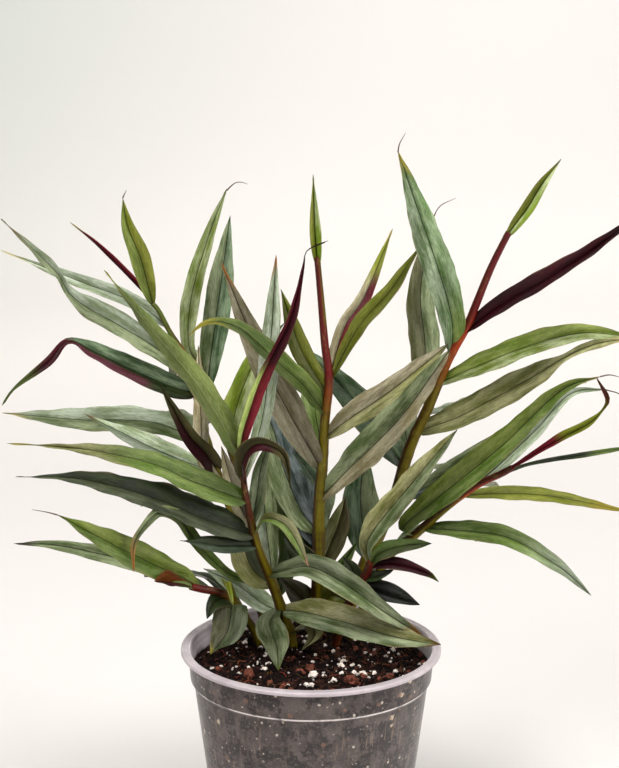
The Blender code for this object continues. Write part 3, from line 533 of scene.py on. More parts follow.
def blade_tones(blade, u, v, wobble, length, seed):
    """The tones of a blade's face, its pale streaks and painted sheen, back and midrib at each point, with
    painted light and shade in them, and how streaky it is there.
    """
    right = np.broadcast_to(smoothstep(v, -0.02, 0.02), wobble.shape)
    *half_tones, half_patch = LOOKS[blade["half_look"]]
    *look_tones, look_patch = LOOKS[blade["look"]]
    # Painted light and shade in part: each half's tones are scaled by its factor, which holds its own
    # lightness and the painted light and shade of that half.
    look_painted_light, half_painted_light = blade["light"]
    pairs = zip(half_tones, look_tones)
    tones = [mixed(linear(a) * half_painted_light, linear(b) * look_painted_light, right) for a, b in pairs]
    patch = half_patch * (1 - right) + look_patch * right
    if blade["strip"]:
        name, begin, end = blade["strip"]
        between = smoothstep(u, begin, begin + 0.06) * (1 - smoothstep(u, end, end + 0.05))
        share = smoothstep(-v, 0.3, 0.36) * between
        tones = [mixed(old, linear(new), share) for old, new in zip(tones, LOOKS[name])]
    if blade["then"]:
        name, begin, end = blade["then"]
        share = smoothstep(u + 0.06 * wobble, begin, end)
        light = (half_painted_light * (1 - right) + look_painted_light * right)[..., None]
        tones = [mixed(old, linear(new) * light, share) for old, new in zip(tones, LOOKS[name])]
    if blade["tip"]:
        name, begin = blade["tip"]
        share = smoothstep(u + 0.05 * abs(v) ** 3 + 0.05 * wobble, begin, min(1.0, begin + 0.14))
        tones = [mixed(old, linear(TIPS[name]), share * part) for old, part in zip(tones, (1, 0.8, 0.9, 0.6))]
        patch = patch * (1 - 0.5 * share)
    margin = smoothstep(abs(v), 0.86, 0.97) * smoothstep(wobble, 0.0, 0.35) * smoothstep(u, 0.15, 0.4)
    tones[0] = mixed(tones[0], linear(MARGIN_TONE), 0.5 * margin)
    # Painted shade: each blade is painted darker towards its base, at the stalk.
    shade = 0.6 + 0.4 * smoothstep(u, 0.0, 0.1)
    clouds = 1 + 0.5 * ridges(length / CLOUD_LENGTH, 0.8, u, v, seed + 9.1)
    return [tone * (shade * clouds)[..., None] for tone in tones], patch[..., None]


def blade_faces(rows):
    """The faces of a top grid, of the under grid that follows it, and round their edges."""
    size = rows * COLUMNS
    faces = []
    for i in range(rows - 1):
        for j in range(COLUMNS - 1):
            a, b = i * COLUMNS + j, (i + 1) * COLUMNS + j
            faces += [(a, a + 1, b + 1, b), (size + a, size + b, size + b + 1, size + a + 1)]
        left, right = i * COLUMNS, (i + 1) * COLUMNS - 1
        faces.append((left, left + COLUMNS, size + left + COLUMNS, size + left))
        faces.append((right, size + right, size + right + COLUMNS, right + COLUMNS))
    for j in range(COLUMNS - 1):
        last = size - COLUMNS + j
        faces += [(j + 1, j, size + j, size + j + 1), (last, last + 1, size + last + 1, size + last)]
    return faces


def add_blade(growth, stem, blade, seed):
    top, under, u, v, out, wobble, length = blade_grid(stem, blade, seed)
    (face, pale, back, rib), patch = blade_tones(blade, u, v, wobble, length, seed)
    place = np.stack(np.broadcast_arrays(u * length + SEED_SHIFT * seed, out, v), axis=-1)
    pale_back = 0.6 * back + 0.4 * pale
    growth.add(
        blade_faces(len(u)), BLADE_KIND, point=[top, under],
        tone=[with_alpha(face), with_alpha(back)],
        streak=[np.concatenate([pale, patch], axis=-1), np.concatenate([pale_back, 0.7 * patch], axis=-1)],
        rib=[with_alpha(rib)] * 2, place=[place, place + BACK_SHIFT],
    )
    if blade["whisker"]:
        route, _ = smooth_route(blade["whisker"], 1.0)
        radii = np.linspace(*WHISKER_RADIUS, len(route))
        add_tube(growth, route, radii, sides=6, tones=linear(WHISKER_TONE))


def rings_round(route, sides):
    """The angles of a ring's points, and the directions to them from each point of a route."""
    normals, across = frames(route, TUBE_FACING, 0)
    angles = np.linspace(0, 2 * np.pi, sides, endpoint=False)
    turn = angles[None, :, None]
    return angles, normals[:, None] * np.cos(turn) + across[:, None] * np.sin(turn)


def add_tube(growth, route, radii, sides, tones):
    """A round tube along a route, with a radius for each ring, and one colour or one for each point."""
    angles, directions = rings_round(route, sides)
    shell = route[:, None] + directions * radii[:, None, None]
    last = (len(route) - 1) * sides
    faces = []
    for j in range(sides):
        k = (j + 1) % sides
        faces += [(i + j, i + k, i + sides + k, i + sides + j) for i in range(0, last, sides)]
        faces += [(k, j, last + sides), (last + j, last + k, last + sides + 1)]
    tones = with_alpha(np.broadcast_to(tones, shell.shape))
    round_place = TUBE_GRAIN * np.cos(angles), TUBE_GRAIN * np.sin(angles)
    place = np.stack(np.broadcast_arrays(travelled(route)[:, None], *round_place), axis=-1)
    tones, place = ([grid, grid[0, :1], grid[-1, :1]] for grid in (tones, place))
    points = [shell, route[:1], route[-1:]]
    growth.add(faces, TUBE_KIND, point=points, tone=tones, streak=tones, rib=tones, place=place)


def add_stalk(growth, stem, seed):
    route, _ = smooth_route(stem["route"], STALK_STATION)
    _, directions = rings_round(route, STALK_SIDES)
    aside, ahead = directions[..., 0], -directions[..., 1]
    heights = route[:, 2:]
    radii = np.linspace(*stem["radius"], len(route))[:, None]
    stops = [height for height, _ in stem["tones"]]
    colours = np.array([linear(STALK_TONES[name]) for _, name in stem["tones"]])
    tones = np.stack([np.interp(heights, stops, column) for column in colours.T], axis=-1)
    dark = 0
    for number, blade in enumerate(stem["leaves"]):
        rise = heights - blade["height"]
        radii = radii * (1 + 0.05 * np.exp(-((rise / 1.6) ** 2)))
        line = 0.35 * np.exp(-(((rise + 0.8) / 0.8) ** 2))
        sheath = smoothstep(rise, -34, -2) * (1 - smoothstep(rise, -1, 1.0))
        leaf_side = aside if number % 2 else -aside
        sheath = 0.55 * sheath * smoothstep(leaf_side + 0.2 * ahead, 0.55, 0.8)
        dark = np.maximum(dark, np.maximum(line, sheath))
    # A dark red-brown band runs down the stalk's left side and winds a little round it: it is partly the
    # sheaths' dark open margin and partly painted shade.
    turn = 0.45 * np.sin(heights / 34 + 1.7 * seed)
    left_flank = -aside * np.cos(turn) - ahead * np.sin(turn)
    margin = smoothstep(left_flank, 0.3, 0.7) * (0.9 - 0.4 * smoothstep(heights, 200, 250))
    tones = tones * 1.15
    if stem["sheath"]:
        low, high, name = stem["sheath"]
        beside = smoothstep(aside, 0.25, 0.5) * smoothstep(heights, low, low + 8)
        beside = beside * (1 - smoothstep(heights, high - 3, high))
        tones = mixed(tones, linear(STALK_TONES[name]), beside)
    tones = mixed(tones, linear(MARGIN_AND_SHADE_BROWN), margin)
    tones = mixed(tones, linear(NODE_TONE), dark)
    add_tube(growth, route, radii[:, 0], STALK_SIDES, tones)


class Graph:
    """A new material, and short ways to add nodes to it."""

    def __init__(self, name):
        self.material = bpy.data.materials.new(name)
        self.material.use_nodes = True
        self.tree = self.material.node_tree

    def node(self, kind, **settings):
        made = self.tree.nodes.new(kind)
        for key, value in settings.items():
            setattr(made, key, value)
        return made

    def put(self, socket, value):
        """Another node's output, a number or a colour on a socket."""
        if isinstance(value, bpy.types.NodeSocket):
            self.tree.links.new(value, socket)
        elif socket.type == "RGBA":
            socket.default_value = (*value, 1)
        else:
            socket.default_value = value

    def finish(self, **sockets):
        """Fills the shader's sockets, each named with _ for a space, and gives the material."""
        for name, value in sockets.items():
            self.put(self.tree.nodes["Principled BSDF"].inputs[name.replace("_", " ")], value)
        return self.material

    def attribute(self, name):
        return self.node("ShaderNodeAttribute", attribute_name=name).outputs

    def split(self, vector):
        made = self.node("ShaderNodeSeparateXYZ")
        self.put(made.inputs[0], vector)
        return made.outputs

    def math(self, operation, *values):
        made = self.node("ShaderNodeMath", operation=operation)
        for socket, value in zip(made.inputs, values):
            self.put(socket, value)
        return made.outputs[0]

    def times(self, first, second):
        return self.math("MULTIPLY", first, second)

    def ramp(self, value, low, high, first=0.0, last=1.0):
        """Goes smoothly from first to last while the value goes from low to high."""
        made = self.node("ShaderNodeMapRange", interpolation_type="SMOOTHSTEP")
        for socket, number in zip(made.inputs, (value, low, high, first, last)):
            self.put(socket, number)
        return made.outputs[0]

    def mix(self, factor, first, second, blend="MIX"):
        made = self.node("ShaderNodeMix", data_type="RGBA", blend_type=blend)
        for index, value in ((0, factor), (6, first), (7, second)):
            self.put(made.inputs[index], value)
        return made.outputs[2]

    def noise(self, vector, scale, detail=2.0, rough=0.5):
        made = self.node("ShaderNodeTexNoise")
        for name, value in (("Vector", vector), ("Scale", scale), ("Detail", detail), ("Roughness", rough)):
            self.put(made.inputs[name], value)
        return made.outputs["Fac"]

    def scaled(self, vector, x, y, z):
        made = self.node("ShaderNodeVectorMath", operation="MULTIPLY")
        self.put(made.inputs[0], vector)
        self.put(made.inputs[1], (x, y, z))
        return made.outputs[0]

    def place(self):
        """The object's own coordinates: all three as one vector, then each alone."""
        where = self.node("ShaderNodeTexCoord").outputs["Object"]
        return where, *self.split(where)

    def grains(self, where, scale, share, size, ragged):
        """1 inside scattered grains, which fill this share of the cells of this scale."""
        cells = self.node("ShaderNodeTexVoronoi", feature="F1")
        self.put(cells.inputs["Vector"], where)
        self.put(cells.inputs["Scale"], scale)
        lucky = self.node("ShaderNodeSeparateColor")
        self.put(lucky.inputs[0], cells.outputs["Color"])
        edge = self.math("ADD", cells.outputs["Distance"], ragged)
        return self.times(self.ramp(edge, size, size + 0.1, 1.0, 0.0),
                          self.ramp(lucky.outputs[0], share, share - 0.02, 0.0, 1.0))

    def bump(self, height, distance, strength, normal=None):
        made = self.node("ShaderNodeBump")
        for name, value in (("Height", height), ("Distance", distance), ("Strength", strength)):
            self.put(made.inputs[name], value)
        if normal:
            self.put(made.inputs["Normal"], normal)
        return made.outputs[0]


def leaf_material(name, roughness, specular):
    g = Graph(name)
    tone, streak, rib = (g.attribute(label) for label in ("tone", "streak", "rib"))
    place = g.attribute("place")["Vector"]
    along, across, _ = g.split(place)
    reach = g.math("ABSOLUTE", across)
    # Side veins leave the midrib at a low angle and run on towards the tip.
    slant = g.math("SUBTRACT", along, g.times(reach, 2.6))
    vein_place = g.node("ShaderNodeCombineXYZ")
    g.put(vein_place.inputs[0], g.times(slant, 0.16))
    g.put(vein_place.inputs[1], g.times(across, 1.15))
    veins = g.noise(vein_place.outputs[0], 1.9, 3.0, 0.6)
    # Painted sheen in part: the pale streaks and patches stand for real paler streaks and for silvery sheen
    # painted into the colour.
    long_streaks = g.noise(g.scaled(place, 0.03, 0.4, 0.0), 1.0, 4.0, 0.6)
    patches = g.noise(g.scaled(place, 0.055, 0.16, 0.3), 1.0, 3.0, 0.55)
    both = g.math("ADD", g.times(long_streaks, 0.55), g.times(patches, 0.55))
    amount = g.times(g.ramp(both, 0.43, 0.66, 0.0, 1.25), streak["Alpha"])
    colour = g.mix(amount, tone["Color"], streak["Color"])
    lined = g.mix(g.ramp(veins, 0.30, 0.70, 0.85, 0.0), colour, g.mix(0.55, colour, rib["Color"]))
    speckle = g.noise(g.scaled(place, 0.9, 1.3, 0.2), 1.0, 3.0, 0.7)
    lined = g.mix(g.ramp(speckle, 0.58, 0.78, 0.0, 0.35), lined, g.mix(0.5, lined, (0.03, 0.03, 0.012)))
    return g.finish(
        Base_Color=g.mix(g.ramp(reach, 0.1, 0.36, 0.85, 0.0), lined, rib["Color"]),
        Roughness=g.ramp(patches, 0.3, 0.75, *roughness),
        Specular_IOR_Level=specular, Subsurface_Weight=0.06, Subsurface_Radius=(0.6, 1.0, 0.25),
        Subsurface_Scale=0.0012, Normal=g.bump(patches, 0.003, 0.4, g.bump(veins, 0.0006, 0.6)),
    )


def stalk_material():
    g = Graph("stalk")
    place = g.attribute("place")["Vector"]
    lines = g.noise(g.scaled(place, 0.05, 1.6, 1.6), 1.0, 3.0, 0.6)
    blots = g.noise(g.scaled(place, 0.22, 0.5, 0.5), 1.0, 3.0, 0.6)
    colour = g.mix(g.ramp(lines, 0.35, 0.68, 0.45, 0.0), g.attribute("tone")["Color"], (0.045, 0.022, 0.006))
    return g.finish(
        Base_Color=g.mix(g.ramp(blots, 0.55, 0.75, 0.0, 0.35), colour, (0.28, 0.23, 0.05)),
        Roughness=0.36, Specular_IOR_Level=0.2, Subsurface_Weight=0.05, Subsurface_Scale=0.001,
        Normal=g.bump(lines, 0.0004, 0.5),
    )


LEAF = leaf_material("green_blade", (0.27, 0.42), 0.2)
YOUNG = leaf_material("purple_blade", (0.34, 0.5), 0.14)
STALK = stalk_material()


def build_plant():
    """The stems and the young leaves. Every blade has a seed of its own."""
    for number, (name, stem) in enumerate(STEMS.items()):
        growth = Growth()
        add_stalk(growth, stem, number)
        for index, blade in enumerate(stem["leaves"]):
            add_blade(growth, stem, blade, 1.7 * number + 3.1 * index + 0.5)
        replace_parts(growth.finish(f"fine_{name}", (LEAF, STALK), "green_growth"), name)
    for number, (name, (bearer, blade)) in enumerate(YOUNG_LEAVES.items()):
        growth = Growth()
        add_blade(growth, STEMS[bearer], blade, 60.3 + 2.9 * number)
        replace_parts(growth.finish(f"fine_{name}", (YOUNG, STALK), "young_purple"), name)


# Pot, in mm
RIM_RADIUS = 65.0
RIM_TOP = 115.0
FLANGE_WIDTH = 4.2
FLANGE_THICK = 2.3
COLLAR_RADIUS = 61.4
COLLAR_FOOT_RADIUS = 60.3
COLLAR_FOOT = 99.6
LEDGE_FOOT = 97.4
WALL_TOP_RADIUS = 58.6
BASE_RADIUS = 46.0
WALL_THICK = 1.1
BASE_THICK = 1.6
DRAIN_HOLES = 6
DRAIN_RADIUS = 3.5
DRAIN_CIRCLE = 33.0
EDGE_ROUNDING = 0.25
GAP = 0.35
# Its paint, in metres: where each change starts and ends, in height but for the outer face
WORN_BELOW = (0.091, 0.096)
LEDGE_HIGHLIGHT_START = (0.0984, 0.0988)
LEDGE_HIGHLIGHT_END = (0.0994, 0.0999)
FILL_LINE = (0.1035, 0.1055)
FLANGE_FOOT = (0.1122, 0.1127)
OUTER_FACE = (0.0512, 0.0516)  # in radius, less COLLAR_SLOPE times the height
COLLAR_SLOPE = 0.084
RING_WAVE = 3100.0  # radians in a metre
# Grains that show through the wall: cells in a metre, the share of cells with one, its size and its colour
POT_GRAINS = (
    (130.0, 0.14, 0.42, (0.62, 0.50, 0.36)),
    (300.0, 0.16, 0.44, (0.58, 0.50, 0.42)),
    (560.0, 0.14, 0.46, (0.36, 0.30, 0.26)),
    (70.0, 0.10, 0.34, (0.60, 0.48, 0.34)),
    (190.0, 0.14, 0.50, (0.16, 0.085, 0.055)),
)


def apply_modifiers(piece):
    bpy.context.view_layer.update()
    graph = bpy.context.evaluated_depsgraph_get()
    mesh = bpy.data.meshes.new_from_object(piece.evaluated_get(graph))
    piece.modifiers.clear()
    piece.data = mesh


def turned(name, profile, steps, rounding=0.0):
    """A solid turned about Z from a profile in mm that starts and ends on the axis."""
    mesh = bpy.data.meshes.new(name)
    edges = [(i, i + 1) for i in range(len(profile) - 1)]
    mesh.from_pydata([(radius * MM, 0, height * MM) for radius, height in profile], edges, [])
    piece = in_scene(name, mesh)
    if rounding:
        bevel = piece.modifiers.new("round", "BEVEL")
        bevel.affect = "VERTICES"
        bevel.width = rounding * MM
        bevel.segments = 3
        bevel.limit_method = "ANGLE"
        bevel.angle_limit = math.radians(20)
    screw = piece.modifiers.new("turn", "SCREW")
    screw.steps = steps
    screw.render_steps = steps
    screw.use_merge_vertices = True
    screw.merge_threshold = 0.0001
    apply_modifiers(piece)
    return piece


def finish_turned(piece, material, sharp, node):
    piece.data.materials.clear()
    piece.data.materials.append(material)
    piece.data.shade_smooth()
    piece.data.set_sharp_from_angle(angle=math.radians(sharp))
    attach(piece, "root")
    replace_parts(piece, node)


def behind_wall(g, where, height, clouds, blotches, streaks):
    """What shows through the frosted wall: grey where the mix presses on it, dark hollows, grit, grains, and
    scratches that come in patches all round below the collar."""
    grit = g.noise(where, 700.0, 3.0, 0.6)
    behind = g.mix(g.ramp(clouds, 0.36, 0.66), (0.034, 0.026, 0.023), (0.078, 0.062, 0.057))
    behind = g.mix(g.ramp(blotches, 0.47, 0.55, 0.0, 0.95), behind, (0.004, 0.0025, 0.002))
    behind = g.mix(g.ramp(grit, 0.52, 0.72, 0.0, 0.6), behind, (0.15, 0.11, 0.09))
    worn = g.times(g.ramp(g.noise(g.scaled(where, 34.0, 34.0, 12.0), 1.0), 0.42, 0.56, 0.45, 1.0),
                   g.ramp(height, *WORN_BELOW, 1.0, 0.1))
    behind = g.mix(g.times(g.ramp(streaks, 0.56, 0.68, 0.0, 0.6), worn), behind, (0.20, 0.14, 0.10))
    behind = g.mix(g.times(g.ramp(streaks, 0.34, 0.44, 0.7, 0.0), worn), behind, (0.010, 0.008, 0.007))
    ragged = g.times(g.noise(where, 420.0, 3.0, 0.6), 0.6)
    for scale, share, size, tone in POT_GRAINS:
        behind = g.mix(g.times(g.grains(where, scale, share, size, ragged), 0.75), behind, tone)
    return behind


def pot_material():
    """Frosted plastic: pale where nothing is behind it, and grey with the mix's marks below its level."""
    g = Graph("frosted_pot")
    where, across, deep, height = g.place()
    radius = g.math("SQRT", g.math("ADD", g.math("POWER", across, 2.0), g.math("POWER", deep, 2.0)))
    clouds = g.noise(where, 90.0, 4.0, 0.6)
    blotches = g.noise(where, 125.0, 5.0, 0.66)
    streaks = g.noise(g.scaled(where, 520.0, 520.0, 26.0), 1.0, 3.0, 0.6)
    rings = g.math("SINE", g.times(g.math("MULTIPLY_ADD", height, 0.6, radius), RING_WAVE))
    behind = behind_wall(g, where, height, clouds, blotches, streaks)
    outside = g.ramp(g.math("MULTIPLY_ADD", height, -COLLAR_SLOPE, radius), *OUTER_FACE)
    collar = g.times(outside, g.ramp(height, *FLANGE_FOOT, 1.0, 0.0))
    filled = g.math("MAXIMUM", g.ramp(height, *FILL_LINE, 1.0, 0.0), collar)
    pale = g.mix(g.ramp(clouds, 0.35, 0.7), (0.40, 0.35, 0.37), (0.50, 0.44, 0.46))
    # Painted light: the inner face is painted paler than the outer, for light that shines through the frosted
    # wall into the shaded inside.
    pale = g.mix(outside, (0.68, 0.61, 0.63), pale)
    pale = g.mix(g.ramp(rings, 0.2, 1.0, 0.0, 0.22), pale, (0.25, 0.21, 0.22))
    base = g.mix(g.times(filled, 0.96), pale, behind)
    # Painted highlight: a thin pale line along the ledge under the collar, broken where the blotches are.
    ledge_highlight = g.times(g.ramp(height, *LEDGE_HIGHLIGHT_START), g.ramp(height, *LEDGE_HIGHLIGHT_END, 1.0, 0.0))
    ledge_highlight = g.times(ledge_highlight, g.ramp(blotches, 0.42, 0.58, 1.0, 0.3))
    return g.finish(
        Base_Color=g.mix(ledge_highlight, base, (0.74, 0.68, 0.66)), Roughness=0.42, IOR=1.45, Specular_IOR_Level=0.28,
        Sheen_Weight=0.4, Sheen_Roughness=0.2, Sheen_Tint=(1.0, 0.97, 0.97), Coat_Weight=0.12,
        Coat_Roughness=0.22, Normal=g.bump(streaks, 0.0002, 0.3, g.bump(rings, 0.00008, 0.35)),
    )


def cut_drain_holes(pot):
    cutters = bpy.data.collections.new("drain_cutters")
    bpy.context.scene.collection.children.link(cutters)
    for hole in range(DRAIN_HOLES):
        angle = 2 * math.pi * hole / DRAIN_HOLES
        bpy.ops.mesh.primitive_cylinder_add(
            vertices=32, radius=DRAIN_RADIUS * MM, depth=8 * MM,
            location=(DRAIN_CIRCLE * MM * math.cos(angle), DRAIN_CIRCLE * MM * math.sin(angle), 0),
        )
        cutter = bpy.context.object
        for owner in list(cutter.users_collection):
            owner.objects.unlink(cutter)
        cutters.objects.link(cutter)
    cut = pot.modifiers.new("holes", "BOOLEAN")
    cut.operation = "DIFFERENCE"
    cut.operand_type = "COLLECTION"
    cut.collection = cutters
    apply_modifiers(pot)
    for cutter in list(cutters.objects):
        bpy.data.objects.remove(cutter, do_unlink=True)


def build_pot():
    inner = WALL_THICK
    profile = [
        (0, BASE_THICK),
        (BASE_RADIUS - inner + 0.1, BASE_THICK),
        (WALL_TOP_RADIUS - inner, LEDGE_FOOT),
        (COLLAR_FOOT_RADIUS - inner, COLLAR_FOOT + 0.5),
        (RIM_RADIUS - FLANGE_WIDTH - 0.4, RIM_TOP - 0.8),
        (RIM_RADIUS - FLANGE_WIDTH, RIM_TOP),
        (RIM_RADIUS - 0.6, RIM_TOP),
        (RIM_RADIUS, RIM_TOP - 0.6),
        (RIM_RADIUS, RIM_TOP - FLANGE_THICK + 0.5),
        (RIM_RADIUS - 0.6, RIM_TOP - FLANGE_THICK),
        (COLLAR_RADIUS, RIM_TOP - FLANGE_THICK),
        (COLLAR_FOOT_RADIUS, COLLAR_FOOT),
        (WALL_TOP_RADIUS, LEDGE_FOOT),
        (BASE_RADIUS + 0.3, 1.2),
        (BASE_RADIUS - 0.6, 0),
        (0, 0),
    ]
    pot = turned("frosted_pot", profile, 160, EDGE_ROUNDING)
    cut_drain_holes(pot)
    finish_turned(pot, pot_material(), sharp=35, node="pot")


# Mix, in mm
MIX_TOP = 105.5
MIX_EDGE = COLLAR_FOOT_RADIUS - WALL_THICK - GAP + 0.45
CRUMB_SIZES = ((5.0, 1.3), (2.2, 1.0), (1.0, 0.5))  # each with its height
FIBRES = 230
DARK_ABOVE = (0.1035, 0.1045)  # in metres: the open mix is darker than where it presses on the wall


def surface(x, y):
    """The height of the mix's surface, in mm: lumps with crumbs on them."""
    coarse = math.sin(0.31 * x + 0.9) * math.cos(0.27 * y - 0.4) + 0.7 * math.sin(0.19 * (x - y) + 2.1)
    fine = math.sin(0.83 * x + 1.7 * math.cos(0.61 * y)) * math.cos(0.71 * y + 0.5)
    height = MIX_TOP + 0.72 * coarse + 0.8 * fine
    for size, depth in CRUMB_SIZES:
        height += depth * noise.noise(Vector((x / size, y / size, 4.2 + size)))
    return height


def mix_material():
    g = Graph("growing_mix")
    where, _, _, height = g.place()
    grain = g.noise(where, 620.0, 4.0, 0.65)
    blots = g.noise(where, 130.0, 4.0, 0.6)
    colour = g.mix(g.ramp(grain, 0.35, 0.7), (0.0016, 0.0008, 0.0006), (0.012, 0.0042, 0.0028))
    colour = g.mix(g.ramp(blots, 0.54, 0.7, 0.0, 0.6), colour, (0.050, 0.016, 0.009))
    # Behind the wall the mix presses on the plastic, and shows grey with pale grains and dark hollows.
    pressed = g.mix(g.ramp(blots, 0.42, 0.62), (0.012, 0.010, 0.010), (0.070, 0.058, 0.056))
    pressed = g.mix(g.grains(where, 230.0, 0.13, 0.36, g.times(grain, 0.35)), pressed, (0.75, 0.62, 0.48))
    return g.finish(
        Base_Color=g.mix(g.ramp(height, *DARK_ABOVE, 1.0, 0.0), colour, pressed), Roughness=0.85,
        Specular_IOR_Level=0.12, Normal=g.bump(grain, 0.0012, 0.9),
    )


def build_mix():
    side = WALL_THICK + GAP
    profile = [(radius, MIX_TOP) for radius in np.linspace(0, MIX_EDGE, 96)]
    profile += [
        (COLLAR_FOOT_RADIUS - side - 0.1, COLLAR_FOOT + 0.8),
        (WALL_TOP_RADIUS - side - 0.1, LEDGE_FOOT + 0.3),
        (BASE_RADIUS - side + 0.1, BASE_THICK + GAP),
        (0, BASE_THICK + GAP),
    ]
    piece = turned("mix_block", profile, 300)
    for vertex in piece.data.vertices:
        if vertex.co.z > (MIX_TOP - 1) * MM:
            x, y = vertex.co.x / MM, vertex.co.y / MM
            sunk = smoothstep(math.hypot(x, y), MIX_EDGE - 2.0, MIX_EDGE)
            vertex.co.z = (surface(x, y) * (1 - sunk) + (MIX_TOP - 1.2) * sunk) * MM
    finish_turned(piece, mix_material(), sharp=75, node="growing_mix")


def grain_material(name, low, high, roughness, scale, bump):
    g = Graph(name)
    where, *_ = g.place()
    spots = g.noise(where, scale, 4.0, 0.65)
    colour = g.mix(g.ramp(spots, 0.35, 0.68), low, high)
    return g.finish(
        Base_Color=g.mix(1.0, colour, g.attribute("tone")["Color"], "MULTIPLY"), Roughness=roughness,
        Specular_IOR_Level=0.15, Normal=g.bump(spots, bump, 0.8),
    )


def rough_grain(ball, spot, roughness):
    """A lumpy, flattened and turned copy of the ball, at its spot."""
    x, y, z, size, flat, seed, _ = spot
    draw = random.Random(seed)
    lumps = np.array([noise.noise(Vector(p * 1.4) + Vector((seed, 0, 0))) for p in ball])
    facets = np.array([noise.noise(Vector(p * 3.1) + Vector((0, seed, 0))) for p in ball])
    reach = (1 + roughness * lumps) * (1 + 0.5 * roughness * facets)
    shape = ball * reach[:, None] * np.array([1, draw.uniform(0.6, 1.0), flat])
    # Only the first of these three draws is used. The others keep the tilt's draw in its place.
    heading, _, _ = (draw.uniform(0, 2 * math.pi) for _ in range(3))
    tilt = draw.uniform(-0.6, 0.6)
    turn = np.array(Matrix.Rotation(heading, 3, "Z") @ Matrix.Rotation(tilt, 3, "X"))
    return shape @ turn.T * (size / 2) + (x, y, z)


def scatter(name, material, spots, detail, roughness):
    """One piece of many rough grains. Each spot is (x, y, z, size, flatness, seed, shade), in mm."""
    source = bmesh.new()
    bmesh.ops.create_icosphere(source, subdivisions=detail, radius=1.0)
    ball = np.array([vertex.co for vertex in source.verts])
    ball_faces = np.array([[vertex.index for vertex in face.verts] for face in source.faces])
    source.free()
    points = np.concatenate([rough_grain(ball, spot, roughness) for spot in spots])
    faces = np.concatenate([ball_faces + number * len(ball) for number in range(len(spots))])
    shades = np.array([spot[-1] for spot in spots]).repeat(len(ball))[:, None]
    mesh = bpy.data.meshes.new(name)
    mesh.from_pydata(points * MM, [], faces.tolist())
    layer = mesh.attributes.new("tone", "FLOAT_COLOR", "POINT")
    layer.data.foreach_set("color", with_alpha(shades.repeat(3, axis=1)).astype(np.float32).ravel())
    mesh.materials.append(material)
    mesh.shade_smooth()
    mesh.set_sharp_from_angle(angle=math.radians(38))
    piece = in_scene(name, mesh)
    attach(piece, "root")


def random_place(draw, reach):
    """A place in a disc of this radius, evenly spread."""
    radius = reach * math.sqrt(draw.random())
    angle = draw.uniform(0, 2 * math.pi)
    return radius * math.cos(angle), radius * math.sin(angle)


def random_spots(count, low, high, seed, sink, power, shades):
    """Spots of grains from size low to high, with more small ones for a higher power. Sink is the share of
    a grain that lies under the surface, about, and shades are the darkest and the lightest."""
    draw = random.Random(seed)
    spots = []
    while len(spots) < count:
        x, y = random_place(draw, MIX_EDGE - 2.5)
        size = low + (high - low) * draw.random() ** power
        if math.hypot(x, y) + size / 2 > MIX_EDGE - 0.8:
            continue
        shade = shades[0] + (shades[1] - shades[0]) * draw.random() ** 2
        z = surface(x, y) + size * (0.5 - sink) * 0.7
        spots.append((x, y, z, size, draw.uniform(0.55, 0.9), draw.random() * 1000, shade))
    return spots


# Grains and chunks that stand out: place on the mix in mm, and size.
BIG_GRAINS = (
    (0.9, -21.2, 4.6), (16.2, 1.1, 3.2), (15.1, -8.5, 3.4), (11.1, -26.2, 3.0), (25.6, -13.9, 3.6),
    (15, -17, 2.4), (-2.2, -35.1, 2.6), (-0.2, -31, 2.8), (6.5, -21.6, 2.2), (-23.1, -13.5, 2.8),
    (-21.2, -3.1, 2.4), (-26.3, 0.9, 2.4), (-41, 29.7, 2.6), (-33.9, 25.3, 2.8), (42, -10.8, 2.6),
    (31.2, -15, 2.4), (20.9, -5.2, 2.4), (45.5, -22, 2.2),
)
BIG_CHUNKS = (
    (-30.8, -18, 8.6), (20.4, -26.5, 8.2), (-0.5, -10.5, 5.2), (-5.5, -13, 5.0), (-13, -34, 5.6),
    (-46, -12, 3.6),
)


def chosen_spots(places, rise, flat, seeds):
    """Spots at listed places. Rise is how far above the surface their middle is, as a share of their size."""
    return [(x, y, surface(x, y) + rise * size, size, flat, seeds * x + y, 1.0) for x, y, size in places]


def build_topping():
    perlite = grain_material(
        "perlite", (0.62, 0.52, 0.44), (0.92, 0.86, 0.80), 0.75, scale=700.0, bump=0.0005)
    bark = grain_material("bark", (0.050, 0.013, 0.008), (0.20, 0.060, 0.035), 0.7, scale=420.0, bump=0.0008)
    crumb = grain_material(
        "crumbs", (0.0024, 0.0011, 0.0008), (0.026, 0.0085, 0.005), 0.85, scale=900.0, bump=0.0008)
    white = chosen_spots(BIG_GRAINS, rise=0.3, flat=0.8, seeds=7.7)
    white += random_spots(210, 0.8, 2.8, seed=11, sink=0.2, power=2.2, shades=(0.6, 1.05))
    brown = chosen_spots(BIG_CHUNKS, rise=0.2, flat=0.7, seeds=3.3)
    brown += random_spots(70, 1.8, 4.2, seed=23, sink=0.3, power=1.5, shades=(0.3, 1.2))
    black = random_spots(1300, 0.9, 3.0, seed=37, sink=0.25, power=1.6, shades=(0.25, 3.2))
    scatter("perlite_grains", perlite, white, detail=3, roughness=0.55)
    scatter("bark_chunks", bark, brown, detail=3, roughness=0.45)
    scatter("mix_crumbs", crumb, black, detail=2, roughness=0.8)


